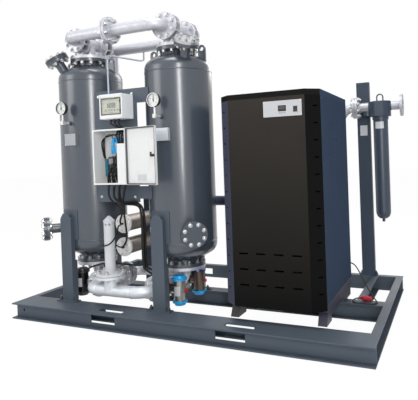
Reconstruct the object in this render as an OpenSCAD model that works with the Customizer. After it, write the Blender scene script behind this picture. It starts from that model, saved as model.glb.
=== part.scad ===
// Desiccant air dryer on a steel skid: two adsorber towers, a refrigeration
// pre-dryer cabinet and an inlet filter. Millimetres, +Z up.
// The origin is the middle of the skid's underside; +X runs along the front.

/* [Skid] */
// Length of the skid along X
skid_l = 2800; // [2600:10:3000]
// Width of the skid along Y
skid_w = 1600; // [1500:10:1800]
// Height of the rolled channels
rail_h = 120; // [100:5:140]
// Flange width of the rolled channels
rail_b = 55; // [45:1:65]
// Width of one fork window
fork_w = 214; // [180:2:240]
// Half the distance between the fork windows
fork_pitch = 515; // [450:5:560]

/* [Towers] */
// Outside radius of a tower shell
shell_r = 254; // [230:1:260]
// Wall of a tower shell
shell_wall = 8; // [5:0.5:12]
// Height of the lower girth weld
seam_low = 588; // [570:1:620]
// Height of the upper girth weld
seam_high = 1861; // [1780:1:1950]
// Distance between the two tower axes
tower_pitch = 850; // [820:2:900]
// Place of the tower axes along Y
tower_y = -330; // [-345:1:-320]

/* [Piping] */
// Outside radius of the galvanised pipe
pipe_r = 44.45; // [38:0.05:46]
// Wall of the galvanised pipe
pipe_wall = 3.6; // [3:0.1:5]
// Outside radius of a pipe flange
flange_r = 100; // [92:1:105]
// Thickness of a pipe flange
flange_t = 20; // [16:1:24]
// Height of the top pipe axes
top_z = 2190; // [2180:1:2230]
// Height of the bottom pipe axes
low_z = 240; // [236:1:250]
// Length of the white exhaust stack above its flange
stack_l = 440; // [350:5:500]

/* [Control enclosure] */
// Width of the control enclosure
box_w = 300; // [260:2:320]
// Height of the control enclosure
box_h = 404; // [360:2:440]
// Depth of the control enclosure
box_d = 150; // [130:1:170]
// Angle that the enclosure door stands open
door_open = 169; // [90:1:175]

/* [Cooler cabinet] */
// Width of the refrigeration cabinet
cool_w = 690; // [640:5:700]
// Depth of the refrigeration cabinet behind its door
cool_d = 750; // [700:5:780]
// Height of the cabinet top above the ground
cool_top = 1616; // [1550:2:1700]
// Width of a door bevel
bevel_w = 82; // [60:1:100]
// Depth of the door in front of the cabinet
bevel_d = 70; // [50:1:90]

/* [Filter] */
// Radius of the filter bowl
bowl_r = 61; // [50:1:66]
// Length of the filter bowl
bowl_l = 840; // [700:5:900]
// Height of the inlet pipe axis
inlet_z = 1590; // [1560:1:1620]

/* [Hidden] */
$fn = 64;
e = 1;
rail_web = 7;
rail_flange = 9;
fork_z = 30;
fork_h = 56;
deck_back = -590;
mid_x = -520;
tx = [mid_x - tower_pitch / 2, mid_x + tower_pitch / 2];
side = [-1, 1];
bore_r = pipe_r - pipe_wall;
tan_low = seam_low - 25;
tan_high = seam_high + 25;
crown = 1.6 * shell_r;
knuckle = 0.308 * shell_r;
crown_c = sqrt(pow(crown - knuckle, 2) - pow(shell_r - knuckle, 2));
head_h = crown - crown_c;
neck_r = 109.5;
neck_flange_r = 157;
neck_flange_t = 24;
neck_top = tan_high + head_h + 35;
neck_low = tan_low - head_h - 34;
port_r = 38;
port_flange_r = 92.5;
port_flange_t = 22;
port_tilt = 30;
disch_z = seam_low + 92;
disch_out = 128;
leg_w = 104;
leg_x = -45;
leg_d = 58;
leg_top = seam_low + 220;
leg_out = shell_r + 43;
tee_top = 110;
check_t = 50;
bend_top = 80;
head_y = tee_top + check_t + flange_t + bend_top;
bend_back = 125;
back_y = tee_top + check_t + flange_t + bend_back;
tee_low = 120;
valve_t = 46;
bend_low = 114;
low_y = tee_low + valve_t + flange_t + bend_low;
low_in = 155;
act_off = 190;
act_r = 45;
act_h = 150;
stack_x = -560;
stack_flange_z = low_z + 120;
panel_y = -560;
panel_t = 5;
panel_l = -715;
panel_r = -322;
panel_z0 = 896;
panel_z1 = 1746;
box_x1 = -318;
box_x0 = box_x1 - box_w;
box_z0 = 1038;
box_wall = 2;
box_front = panel_y - box_d;
door_d = 18;
hinge_x = box_x1 + 5;
hinge_y = box_front - 12;
ctl_x0 = -556;
ctl_w = 202;
ctl_z0 = 1518;
ctl_h = 180;
ctl_d = 130;
gauge_z = 1629;
gauge_y = tower_y - shell_r - 76;
cool_x0 = 390;
cool_x1 = cool_x0 + cool_w;
cool_y0 = -580;
cool_y1 = cool_y0 + cool_d;
cool_z0 = 260;
sheet = 3;
door_y = cool_y0 - bevel_d;
door_z0 = 225;
door_z1 = cool_top - 36;
line_r = 38;
line_flange_r = 92.5;
filt_y = 640;
filt_x = 1275;
post_x = 1115;
post_w = 110;
post_y0 = skid_w / 2 - rail_b;
post_top = 1818;
heat_x = -520;
heat_r = 63;
heat_z = [546, 724];
heat_y = 10;
heat_l = 512;
post_span = 380;
cross_z = 856;
cross_y = tower_y + low_y;
cord_r = 4.5;
// Route of the power cord, from the cabinet's rear corner to its plug on the middle beam
cord_pts = [
  [1020, 166, 352], [1020, 200, 352], [1025, 222, 351], [1042, 243, 347], [1068, 251, 339],
  [1097, 243, 324], [1130, 214, 289], [1165, 176, 244], [1200, 137, 198], [1234, 98, 160],
  [1262, 64, 137], [1283, 30, 127], [1294, 5, 125], [1297, -16, 125], [1289, -36, 125],
  [1272, -49, 125], [1250, -52, 125], [1206, -52, 125], [1162, -52, 125], [1142.8, -46.8, 125],
  [1128.7, -32.8, 125], [1123.5, -13.5, 126], [1128.7, 5.8, 130], [1142.8, 19.8, 135], [1162, 25, 138],
  [1170, 25, 138]
];

paint = [0.33, 0.37, 0.42];
zinc = [0.80, 0.82, 0.84];

// Rolled channel along +X from the origin: web at y = 0, flanges toward -Y
module channel(len, h, b, web, fl) {
  rotate([90, 0, 90])
    linear_extrude(len)
      polygon([[0, 0], [0, h], [-b, h], [-b, h - fl], [-web, h - fl], [-web, fl], [-b, fl], [-b, 0]]);
}

// Fork windows through every beam that runs along X
module fork_windows(y0, y1) {
  for (s = [-1, 1])
    translate([s * fork_pitch - fork_w / 2 + (s < 0 ? -33 : -38), y0, fork_z])
      cube([fork_w, y1 - y0, fork_h]);
}

module front_rail() {
  color(paint)
    difference() {
      translate([-skid_l / 2, -skid_w / 2 + rail_b, 0])
        channel(skid_l, rail_h, rail_b, rail_web, rail_flange);
      fork_windows(-skid_w / 2 + rail_b - rail_web - e, -skid_w / 2 + rail_b + e);
      translate([-skid_l / 2 + 75, -skid_w / 2 + rail_b + e, rail_h / 2])
        rotate([90, 0, 0])
          cylinder(r = 11, h = rail_web + 2 * e);
    }
}

module rear_rail() {
  color(paint)
    difference() {
      translate([-skid_l / 2, skid_w / 2 - rail_b, 0])
        mirror([0, 1, 0])
          channel(skid_l, rail_h, rail_b, rail_web, rail_flange);
      fork_windows(skid_w / 2 - rail_b - e, skid_w / 2 - rail_b + rail_web + e);
    }
}

// End rail between the front and rear webs, open toward -X
module end_rail() {
  len = skid_w - 2 * rail_b;
  translate([-skid_l / 2 + rail_b, len / 2, 0])
    rotate([0, 0, -90])
      channel(len, rail_h, rail_b, rail_web, rail_flange);
}

module left_rail() {
  color(paint) end_rail();
}

module right_rail() {
  color(paint)
    mirror([1, 0, 0])
      end_rail();
}

// Deck between the front rail and its inner channel, slotted over the fork windows
module front_deck() {
  x0 = -skid_l / 2 + rail_b;
  len = skid_l - 2 * rail_b;
  y0 = -skid_w / 2 + rail_b;
  color(paint)
    difference() {
      union() {
        translate([x0, deck_back, 0])
          channel(len, rail_h, rail_b, rail_web, rail_flange);
        translate([x0, y0, rail_h - rail_flange])
          cube([len, deck_back - y0 - rail_web, rail_flange]);
      }
      fork_windows(deck_back - rail_web - e, deck_back + e);
      for (s = [-1, 1])
        translate([s * fork_pitch - fork_w / 2 + 20, y0 + 6, rail_h - rail_flange - e])
          cube([fork_w, 52, rail_flange + 2 * e]);
    }
}

module mid_beam() {
  b = 100;
  color(paint)
    difference() {
      translate([-skid_l / 2 + rail_b, -10, 0])
        rotate([90, 0, 90])
          linear_extrude(skid_l - 2 * rail_b)
            difference() {
              translate([-b / 2, 0])
                square([b, rail_h]);
              for (s = [-1, 1])
                translate([s > 0 ? rail_web / 2 : -b / 2 - e, rail_flange])
                  square([b / 2 - rail_web / 2 + e, rail_h - 2 * rail_flange]);
            }
      fork_windows(-10 - rail_web, -10 + rail_web);
    }
}

module cross_beam() {
  y0 = 40;
  color(paint)
    translate([post_x + rail_b / 2, y0, 0])
      rotate([0, 0, 90])
        channel(skid_w / 2 - rail_b - y0, rail_h, rail_b, rail_web, rail_flange);
}

// Half outline of a dished vessel: crown and knuckle arcs on a straight shell
module dished_half(r, grow) {
  k = knuckle + grow;
  c = crown + grow;
  intersection() {
    translate([0, -crown_c])
      circle(c, $fn = 180);
    polygon([[0, 0], [shell_r - knuckle, 0], [shell_r - knuckle + (shell_r - knuckle) / crown_c * r, r], [0, r]]);
  }
  intersection() {
    translate([shell_r - knuckle, 0])
      circle(k);
    translate([shell_r - knuckle, 0])
      square([k + e, k + e]);
  }
}

module vessel_outline(grow) {
  r = shell_r + grow;
  translate([0, tan_high])
    dished_half(r, grow);
  translate([0, tan_low])
    mirror([0, 1])
      dished_half(r, grow);
  translate([0, tan_low])
    square([r, tan_high - tan_low]);
}

// Place a fill nozzle: leans outward and forward from the upper head
module at_fill(s) {
  rotate([0, 0, s * 47])
    translate([0, -shell_r - 4, tan_high + head_h + 33])
      rotate([port_tilt, 0, 0])
        children();
}

// Place a discharge nozzle: level, facing outward and forward
module at_discharge(s) {
  rotate([0, 0, s * 42])
    translate([0, -shell_r - disch_out, disch_z])
      rotate([90, 0, 0])
        children();
}

module lug(s) {
  translate([s * (shell_r - 40), 0, tan_high + 40])
    rotate([90, 0, 0])
      translate([0, 0, -8])
        linear_extrude(16)
          difference() {
            union() {
              translate([0, 100])
                circle(30);
              translate([-30, 0])
                square([60, 100]);
            }
            translate([0, 100])
              circle(16);
          }
}

// One welded pressure vessel with its necks, nozzles, lugs and gauge boss
module vessel(s) {
  difference() {
    union() {
      rotate_extrude($fn = 180)
        vessel_outline(0);
      for (z = [seam_low, seam_high])
        translate([0, 0, z])
          rotate_extrude($fn = 180)
            translate([shell_r - 1, 0])
              circle(4, $fn = 24);
      translate([0, 0, tan_high + head_h - 20])
        cylinder(r = neck_r, h = neck_top - tan_high - head_h + 20);
      translate([0, 0, neck_top - neck_flange_t])
        cylinder(r = neck_flange_r, h = neck_flange_t);
      translate([0, 0, neck_low])
        cylinder(r = neck_r, h = tan_low - head_h - neck_low + 20);
      translate([0, 0, neck_low])
        cylinder(r = neck_flange_r, h = neck_flange_t);
      at_fill(s)
        translate([0, 0, -190])
          cylinder(r = port_r, h = 190);
      at_fill(s)
        translate([0, 0, -port_flange_t])
          cylinder(r = port_flange_r, h = port_flange_t);
      at_discharge(s)
        translate([0, 0, -disch_out - 38])
          cylinder(r = port_r, h = disch_out + 38);
      at_discharge(s)
        translate([0, 0, -port_flange_t])
          cylinder(r = port_flange_r, h = port_flange_t);
      for (k = [-1, 1])
        lug(k);
      translate([0, -shell_r + 12, gauge_z - 112])
        rotate([90, 0, 0])
          cylinder(r = 16, h = 30);
    }
    rotate_extrude($fn = 180)
      vessel_outline(-shell_wall);
    translate([0, 0, neck_low - e])
      cylinder(r = neck_r - shell_wall, h = neck_top - neck_low + 2 * e);
    at_fill(s)
      translate([0, 0, -175])
        cylinder(r = port_r - 5, h = 175 + e);
    at_discharge(s)
      translate([0, 0, -disch_out - 28])
        cylinder(r = port_r - 5, h = disch_out + 28 + e);
  }
}

module left_vessel() {
  color(paint)
    translate([tx[0], tower_y, 0])
      vessel(-1);
}

module right_vessel() {
  color(paint)
    translate([tx[1], tower_y, 0])
      vessel(1);
}

// Channel leg in front of a tower, d to one side of its axis: web outward, chamfered top, saddle pad, foot plate
module leg(d) {
  c = 26;
  difference() {
    translate([d, -leg_out, rail_h])
      difference() {
        translate([0, 0, 0])
          rotate([90, 0, 0])
            translate([0, 0, -leg_d])
              linear_extrude(leg_d)
                polygon([
                  [-leg_w / 2, 0], [leg_w / 2, 0], [leg_w / 2, leg_top - rail_h - c * 1.6],
                  [leg_w / 2 - c, leg_top - rail_h], [-leg_w / 2 + c, leg_top - rail_h],
                  [-leg_w / 2, leg_top - rail_h - c * 1.6]
                ]);
        translate([-leg_w / 2 + rail_flange, rail_web, -e])
          cube([leg_w - 2 * rail_flange, leg_d, leg_top]);
      }
    translate([0, 0, seam_low - 150])
      cylinder(r = shell_r + 4, h = 600, $fn = 180);
  }
  intersection() {
    translate([0, 0, seam_low + 12])
      difference() {
        cylinder(r = shell_r + 6, h = leg_top + 12 - seam_low, $fn = 180);
        translate([0, 0, -e])
          cylinder(r = shell_r, h = 400, $fn = 180);
      }
    translate([d - 84, -shell_r - 20, 0])
      cube([168, shell_r, 2000]);
  }
  difference() {
    translate([d - 96, -leg_out - 22, rail_h])
      cube([192, 59, 8]);
    for (s = [-1, 1])
      translate([d + s * 74, -leg_out + 8, rail_h - e])
        cylinder(r = 9, h = 20);
  }
}

module vessel_legs() {
  color(paint)
    for (i = [0, 1])
      translate([tx[i], tower_y, 0])
        for (a = [0, 180])
          rotate([0, 0, a])
            leg(a == 0 ? leg_x : -leg_x);
}

module desiccant_beds() {
  color([0.93, 0.92, 0.88])
    for (i = [0, 1])
      translate([tx[i], tower_y, tan_low + 16])
        cylinder(r = shell_r - shell_wall, h = tan_high - tan_low - 40);
}

// Perforated support plate below each bed and hold-down plate above it
module bed_screens() {
  color([0.7, 0.71, 0.72])
    for (i = [0, 1])
      for (z = [tan_low + 10, tan_high - 24])
        translate([tx[i], tower_y, z])
          difference() {
            cylinder(r = shell_r - shell_wall, h = 6);
            for (r = [60, 120, 180])
              for (a = [0:30:330])
                rotate([0, 0, a])
                  translate([r, 0, -e])
                    cylinder(r = 10, h = 8, $fn = 24);
          }
}

// Blind covers on the fill and discharge nozzles
module port_covers() {
  color(paint)
    for (i = [0, 1])
      translate([tx[i], tower_y, 0]) {
        at_fill(side[i])
          cylinder(r = port_flange_r, h = port_flange_t);
        at_discharge(side[i])
          cylinder(r = port_flange_r, h = port_flange_t);
      }
}

module nameplates() {
  w = 108;
  h = 92;
  back = sqrt(pow(shell_r, 2) - pow(w / 2 - 4, 2));
  color(zinc)
    for (i = [0, 1])
      translate([tx[i] + 10, tower_y, 1342])
        translate([-w / 2, -shell_r - 18, 0])
          difference() {
            cube([w, 18 + shell_r - back + 6, h]);
            translate([3, 2, -e])
              cube([w - 6, 200, h + 2 * e]);
            translate([w / 2 - 10, 18 + shell_r, -e])
              cylinder(r = shell_r, h = h + 2 * e, $fn = 180);
          }
}

// Flanged ring that lies on z = 0 and rises along +Z
module flange(r, t) {
  cylinder(r = r, h = t);
}

module tee_top_solid(r, grow) {
  translate([0, 0, neck_top - grow])
    cylinder(r = r - 2, h = top_z - neck_top + grow);
  translate([0, tee_top + grow, top_z])
    rotate([90, 0, 0])
      cylinder(r = r, h = 2 * (tee_top + grow));
}

// Cover flange of a tower with its stub and the tee that feeds two check valves
module top_tees() {
  color(zinc)
    for (i = [0, 1])
      translate([tx[i], tower_y, 0])
        difference() {
          union() {
            tee_top_solid(pipe_r, 0);
            translate([0, 0, neck_top])
              flange(neck_flange_r, neck_flange_t);
            for (s = [-1, 1])
              translate([0, s * tee_top, top_z])
                rotate([s * 90, 0, 0])
                  flange(flange_r, flange_t);
          }
          tee_top_solid(bore_r, e);
        }
}

// Wafer check valves clamped inside the bolt circles, each with its closed plate
module check_valves() {
  color([0.22, 0.22, 0.23])
    for (i = [0, 1])
      for (s = [-1, 1])
        translate([tx[i], tower_y + s * (tee_top + check_t / 2), top_z])
          rotate([90, 0, 0])
            difference() {
              translate([0, 0, -check_t / 2])
                cylinder(r = 70, h = check_t);
              translate([0, 0, -check_t / 2 - e])
                cylinder(r = bore_r, h = check_t / 2 - 3);
              translate([0, 0, 4])
                cylinder(r = bore_r, h = check_t);
            }
}

// Quarter bend in the XY plane about its own centre, from angle a to a + 90
module bend(r, rad, a) {
  rotate([0, 0, a])
    rotate_extrude(angle = 90)
      translate([rad, 0])
        circle(r);
}

// Pipe along +X
module pipe_x(r, len) {
  rotate([0, 90, 0])
    cylinder(r = r, h = len);
}

// Left half of the front outlet line, up to its middle flange
module left_outlet_path(r, grow) {
  translate([tx[0] + bend_top, bend_top - head_y, 0])
    bend(r, bend_top, 180);
  translate([tx[0] + bend_top, -head_y, 0])
    pipe_x(r, mid_x - tx[0] - bend_top + grow);
  translate([tx[0], bend_top - head_y + flange_t + grow, 0])
    rotate([90, 0, 0])
      cylinder(r = r, h = flange_t + grow);
}

module left_outlet_half() {
  difference() {
    union() {
      left_outlet_path(pipe_r, 0);
      translate([tx[0], bend_top - head_y, 0])
        rotate([-90, 0, 0])
          flange(flange_r, flange_t);
      translate([mid_x - flange_t, -head_y, 0])
        rotate([0, 90, 0])
          flange(flange_r, flange_t);
    }
    left_outlet_path(bore_r, e);
  }
}

module left_outlet_spool() {
  color(zinc)
    translate([0, tower_y, top_z])
      left_outlet_half();
}

module right_outlet_spool() {
  color(zinc)
    translate([2 * mid_x, tower_y, top_z])
      mirror([1, 0, 0])
        left_outlet_half();
}

// Rear line between the towers; its left corner also drops to the dry air outlet
drop_z = 1360;
module rear_path(r, grow) {
  translate([tx[1] - bend_back, back_y - bend_back, 0])
    bend(r, bend_back, 0);
  translate([tx[1], back_y - bend_back - flange_t - grow, 0])
    rotate([-90, 0, 0])
      cylinder(r = r, h = flange_t + grow);
  translate([tx[0], back_y, 0])
    pipe_x(r, tower_pitch - bend_back);
  translate([tx[0], back_y - bend_back - flange_t - grow, 0])
    rotate([-90, 0, 0])
      cylinder(r = r - 1, h = bend_back + flange_t + grow);
  translate([tx[0], back_y, drop_z - top_z + bend_low])
    cylinder(r = r - 2, h = top_z - drop_z - bend_low);
  translate([tx[0], back_y + bend_low, drop_z - top_z + bend_low])
    rotate([0, 90, 0])
      bend(r - 2, bend_low, -90);
  translate([tx[0], back_y + bend_low, drop_z - top_z])
    rotate([-90, 0, 0])
      cylinder(r = r - 2, h = 40 + grow);
}

module rear_header() {
  color(zinc)
    translate([0, tower_y, top_z])
      difference() {
        union() {
          rear_path(pipe_r, 0);
          translate([tx[0], back_y, 0])
            sphere(r = pipe_r + 5);
          for (i = [0, 1])
            translate([tx[i], back_y - bend_back, 0])
              rotate([90, 0, 0])
                flange(flange_r, flange_t);
          translate([tx[0], back_y + bend_low + 40 - flange_t, drop_z - top_z])
            rotate([-90, 0, 0])
              flange(flange_r, flange_t);
        }
        rear_path(bore_r, e);
        translate([tx[0], back_y + bend_low + 40 - flange_t - e, drop_z - top_z])
          rotate([-90, 0, 0])
            for (a = [22.5:45:359])
              rotate([0, 0, a])
                translate([80, 0, 0])
                  cylinder(r = 9, h = flange_t + 2 * e, $fn = 32);
      }
}

// Bottom cover flange, elbow toward the middle and tee between two valves
module tee_low_solid(r, s, grow) {
  translate([0, 0, low_z + bend_low])
    cylinder(r = r - 2, h = neck_low - low_z - bend_low + grow);
  translate([-s * bend_low, 0, low_z + bend_low])
    rotate([90, 0, 0])
      bend(r - 2, bend_low, s > 0 ? -90 : 180);
  translate([s > 0 ? -low_in : bend_low, 0, low_z])
    pipe_x(r - 2, low_in - bend_low);
  translate([-s * low_in, tee_low + grow, low_z])
    rotate([90, 0, 0])
      cylinder(r = r, h = 2 * (tee_low + grow));
}

module bottom_tees() {
  color(zinc)
    for (i = [0, 1])
      translate([tx[i], tower_y, 0])
        difference() {
          union() {
            tee_low_solid(pipe_r, side[i], 0);
            translate([0, 0, neck_low - neck_flange_t])
              flange(neck_flange_r, neck_flange_t);
            translate([-side[i] * low_in, pipe_r + 12, low_z])
              rotate([90, 0, 0])
                cylinder(r = pipe_r + 3, h = 2 * (pipe_r + 12));
            for (k = [-1, 1])
              translate([-side[i] * low_in, k * tee_low, low_z])
                rotate([k * 90, 0, 0])
                  flange(flange_r, flange_t);
          }
          tee_low_solid(bore_r, side[i], e);
        }
}

// Place one of the four shut-off valves: i picks the tower, k front or rear
module at_valve(i, k) {
  translate([tx[i] - side[i] * low_in, tower_y + k * (tee_low + valve_t / 2), low_z])
    mirror([side[i] > 0 ? 0 : 1, 0, 0])
      children();
}

module valve_bodies() {
  color([0.20, 0.20, 0.21])
    for (i = [0, 1])
      for (k = [-1, 1])
        at_valve(i, k)
          difference() {
            union() {
              rotate([90, 0, 0])
                translate([0, 0, -valve_t / 2])
                  cylinder(r = 66, h = valve_t);
              pipe_x(16, 120);
              translate([110, 0, 0])
                pipe_x(33, 10);
              rotate([0, -90, 0])
                cylinder(r = 14, h = 76);
            }
            rotate([90, 0, 0])
              translate([0, 0, -valve_t])
                cylinder(r = bore_r + 0.2, h = 2 * valve_t);
            translate([-60, 0, 0])
              pipe_x(8.4, 200);
          }
}

// Valve plate with its shaft and the red position mark outside the actuator
module valve_disc() {
  rotate([90, 0, 0])
    translate([0, 0, -4])
      cylinder(r = bore_r - 0.4, h = 8);
  translate([-58, 0, 0])
    pipe_x(8, act_off + act_r + 66);
  translate([act_off + act_r + 4, 0, 0])
    pipe_x(13, 14);
}

module left_exhaust_disc() {
  color([0.80, 0.14, 0.22])
    at_valve(0, -1) valve_disc();
}

module right_exhaust_disc() {
  color([0.80, 0.14, 0.22])
    at_valve(1, -1) valve_disc();
}

module left_inlet_disc() {
  color([0.80, 0.14, 0.22])
    at_valve(0, 1) valve_disc();
}

module right_inlet_disc() {
  color([0.80, 0.14, 0.22])
    at_valve(1, 1) valve_disc();
}

module actuator_bodies() {
  color([0.58, 0.55, 0.52])
    for (i = [0, 1])
      for (k = [-1, 1])
        at_valve(i, k)
          difference() {
            union() {
              translate([act_off, 0, -act_h / 2])
                cylinder(r = act_r, h = act_h);
              translate([120, 0, 0])
                pipe_x(28, act_off - 125);
              translate([act_off, 0, 0])
                pipe_x(20, act_r + 3);
            }
            translate([100, 0, 0])
              pipe_x(8.4, act_off);
          }
}

module actuator_caps() {
  color([0.10, 0.55, 0.80])
    for (i = [0, 1])
      for (k = [-1, 1])
        at_valve(i, k)
          translate([act_off, 0, 0])
            for (m = [0, 1])
              mirror([0, 0, m])
                translate([0, 0, act_h / 2])
                  rotate_extrude()
                    polygon([[0, 0], [56, 0], [56, 14], [45, 19], [39, 34], [0, 38]]);
}

// U-shaped exhaust line in front of the towers with the stack branch
module low_path(r, grow) {
  for (k = [0, 1])
    translate([k * 2 * mid_x, 0, 0])
      mirror([k, 0, 0]) {
        translate([tx[0] + low_in + bend_low, bend_low - low_y, 0])
          bend(r, bend_low, 180);
        translate([tx[0] + low_in, bend_low - low_y + flange_t + grow, 0])
          rotate([90, 0, 0])
            cylinder(r = r, h = flange_t + grow);
      }
  translate([tx[0] + low_in + bend_low, -low_y, 0])
    pipe_x(r, tower_pitch - 2 * low_in - 2 * bend_low);
}

module low_flanges() {
  for (s = [-1, 1])
    translate([mid_x + s * (tower_pitch / 2 - low_in), bend_low - low_y, 0])
      rotate([-90, 0, 0])
        flange(flange_r, flange_t);
}

module exhaust_header() {
  color(zinc)
    translate([0, tower_y, low_z])
      difference() {
        union() {
          low_path(pipe_r, 0);
          low_flanges();
          translate([stack_x, -low_y, 0])
            cylinder(r = pipe_r + 6, h = stack_flange_z - low_z);
          translate([stack_x, -low_y, stack_flange_z - low_z - flange_t])
            flange(flange_r + 10, flange_t);
        }
        low_path(bore_r, e);
        translate([stack_x, -low_y, 0])
          cylinder(r = bore_r - 2, h = stack_flange_z);
      }
}

// White blow-off stack with a cone cap and side vents under the cap
module exhaust_stack() {
  r = 39;
  bore = 34;
  color([0.93, 0.93, 0.92])
    translate([stack_x, tower_y - low_y, stack_flange_z])
      difference() {
        rotate_extrude()
          polygon([
            [bore, 0], [flange_r + 10, 0], [flange_r + 10, flange_t], [r, flange_t], [r, stack_l - 46],
            [r + 3, stack_l - 46], [r + 3, stack_l - 32], [r, stack_l - 32], [8, stack_l], [0, stack_l],
            [0, stack_l - 6], [bore, stack_l - 36]
          ]);
        for (a = [0:45:315])
          rotate([0, 0, a])
            translate([0, 0, stack_l - 62])
              rotate([0, 90, 0])
                cylinder(r = 7, h = r + 10, $fn = 24);
      }
}

// Wet air line behind the towers: crossing pipe from the cabinet, drop and valve header
module inlet_path(r, grow) {
  mirror([0, 1, 0])
    low_path(r, grow);
  translate([-400, low_y, 0])
    cylinder(r = r, h = cross_z - low_z - bend_low);
  translate([-400 + bend_low, low_y, cross_z - low_z - bend_low])
    rotate([90, 0, 0])
      bend(r, bend_low, 90);
  translate([-400 + bend_low, low_y, cross_z - low_z])
    pipe_x(r, cool_x0 + 400 - bend_low + grow);
}

module inlet_header() {
  color(zinc)
    translate([0, tower_y, low_z])
      difference() {
        union() {
          inlet_path(pipe_r - 6, 0);
          mirror([0, 1, 0])
            low_flanges();
        }
        inlet_path(bore_r - 6, e);
      }
}

// Regeneration heaters: stainless tubes closed by bolted covers, carried by the rear post
module heater_shells() {
  color([0.60, 0.55, 0.50])
    for (z = heat_z)
      translate([heat_x, heat_y, z])
        rotate([90, 0, 0])
          difference() {
            cylinder(r = heat_r, h = heat_l);
            translate([0, 0, 4])
              cylinder(r = heat_r - 4, h = heat_l);
          }
}

module heater_covers() {
  color([0.86, 0.86, 0.84])
    for (z = heat_z)
      translate([heat_x, heat_y - heat_l, z])
        rotate([90, 0, 0])
          rotate_extrude()
            polygon([
              [0, 0], [heat_r + 9, 0], [heat_r + 9, 14], [heat_r + 2, 14], [heat_r + 2, 20],
              [heat_r - 6, 30], [0, 30]
            ]);
}

module heater_post() {
  color(paint) {
    translate([heat_x - post_span / 2, heat_y, rail_h])
      rotate(180, [1, 0, 1])
        channel(heat_z[1] + 236 - rail_h, post_span, 30, 6, 8);
  }
}

// Steel plate between the towers, notched beside the right tower
module mounting_panel() {
  tab = tx[1] - sqrt(pow(shell_r, 2) - pow(panel_y + panel_t - tower_y, 2)) - e;
  color(paint) {
    translate([0, panel_y + panel_t, 0])
      rotate([90, 0, 0])
        linear_extrude(panel_t)
          difference() {
            polygon([
              [panel_l, panel_z0], [panel_r, panel_z0], [panel_r, panel_z0 + 26], [tab, panel_z0 + 26],
              [tab, panel_z0 + 120], [panel_r, panel_z0 + 120], [panel_r, panel_z1 - 110],
              [tab, panel_z1 - 110], [tab, panel_z1], [panel_l, panel_z1]
            ]);
            for (x = [panel_l + 40, panel_r - 40])
              for (z = [panel_z0 + 40, panel_z1 - 40])
                translate([x, z])
                  circle(6);
          }
    for (i = [0, 1])
      for (z = [panel_z0 + 30, panel_z1 - 100])
        difference() {
          translate([i == 0 ? panel_l + 6 : tab - 60, panel_y + panel_t, z])
            cube([54, tower_y - panel_y, 60]);
          translate([tx[i], tower_y, z - e])
            cylinder(r = shell_r, h = 80, $fn = 180);
          translate([i == 0 ? panel_l : tab - 54, panel_y + panel_t + 5, z - e])
            cube([54, tower_y - panel_y + e, 80]);
        }
  }
}

// Sheet steel enclosure, open in front, with a folded rim and hinge eyes
module enclosure_box() {
  h = box_h;
  color([0.94, 0.94, 0.93]) {
    difference() {
      translate([box_x0, box_front, box_z0])
        cube([box_w, box_d, h]);
      translate([box_x0 + box_wall, box_front + 10, box_z0 + box_wall])
        cube([box_w - 2 * box_wall, box_d - 10 - box_wall, h - 2 * box_wall]);
      translate([box_x0 + 12, box_front - e, box_z0 + 12])
        cube([box_w - 24, 12, h - 24]);
      for (x = [60, 110, 160, 210])
        translate([box_x0 + x, box_front + 90, box_z0 - e])
          cylinder(r = 10, h = 10);
    }
    for (z = [box_z0 + 70, box_z0 + h - 110])
      difference() {
        union() {
          translate([hinge_x, hinge_y, z])
            cylinder(r = 4, h = 16);
          translate([hinge_x - 6, hinge_y, z])
            cube([7, 24, 16]);
          translate([hinge_x, hinge_y, z])
            cylinder(r = 2, h = 38);
        }
      }
  }
}

// Door tray in its shut place, drawn about the hinge
module door_shut() {
  x0 = box_x0 - hinge_x;
  x1 = box_x1 - hinge_x - 2;
  y0 = box_front - hinge_y - 2;
  difference() {
    translate([x0, y0 - door_d, box_z0])
      cube([x1 - x0, door_d, box_h]);
    translate([x0 + 2, y0 - door_d + 2, box_z0 + 2])
      cube([x1 - x0 - 4, door_d, box_h - 4]);
    translate([x0 + 26, y0 - door_d - e, box_z0 + box_h / 2])
      rotate([-90, 0, 0])
        cylinder(r = 9.4, h = 20);
  }
  for (z = [box_z0 + 86.4, box_z0 + box_h - 93.6])
    difference() {
      union() {
        translate([0, 0, z])
          cylinder(r = 4, h = 20);
        translate([x1 - 1, -4, z])
          cube([5, 4, 20]);
      }
      translate([0, 0, z - e])
        cylinder(r = 2.3, h = 30);
    }
}

module at_door() {
  translate([hinge_x, hinge_y, 0])
    rotate([0, 0, door_open])
      children();
}

module enclosure_door() {
  color([0.95, 0.95, 0.94])
    at_door()
      door_shut();
}

// Quarter-turn lock through the door near its free edge
module door_lock() {
  y0 = box_front - hinge_y - 2 - door_d;
  color([0.25, 0.25, 0.26])
    at_door()
      translate([box_x0 - hinge_x + 26, y0, box_z0 + box_h / 2])
        rotate([-90, 0, 0]) {
          cylinder(r = 9, h = 30.6);
          translate([0, 0, -6])
            cylinder(r = 13, h = 6);
          translate([-8, -23, 30.6])
            cube([16, 31, 3]);
        }
}

// Inner plate with the rails and gear of the controls
module back_plate() {
  color([0.96, 0.96, 0.95]) {
    translate([box_x0 + 20, panel_y - box_wall - 16, box_z0 + 20])
      cube([box_w - 40, 2, box_h - 40]);
    for (x = [40, box_w - 40])
      for (z = [40, box_h - 40])
        translate([box_x0 + x, panel_y - box_wall, box_z0 + z])
          rotate([90, 0, 0])
            cylinder(r = 6, h = 14);
  }
}

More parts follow.
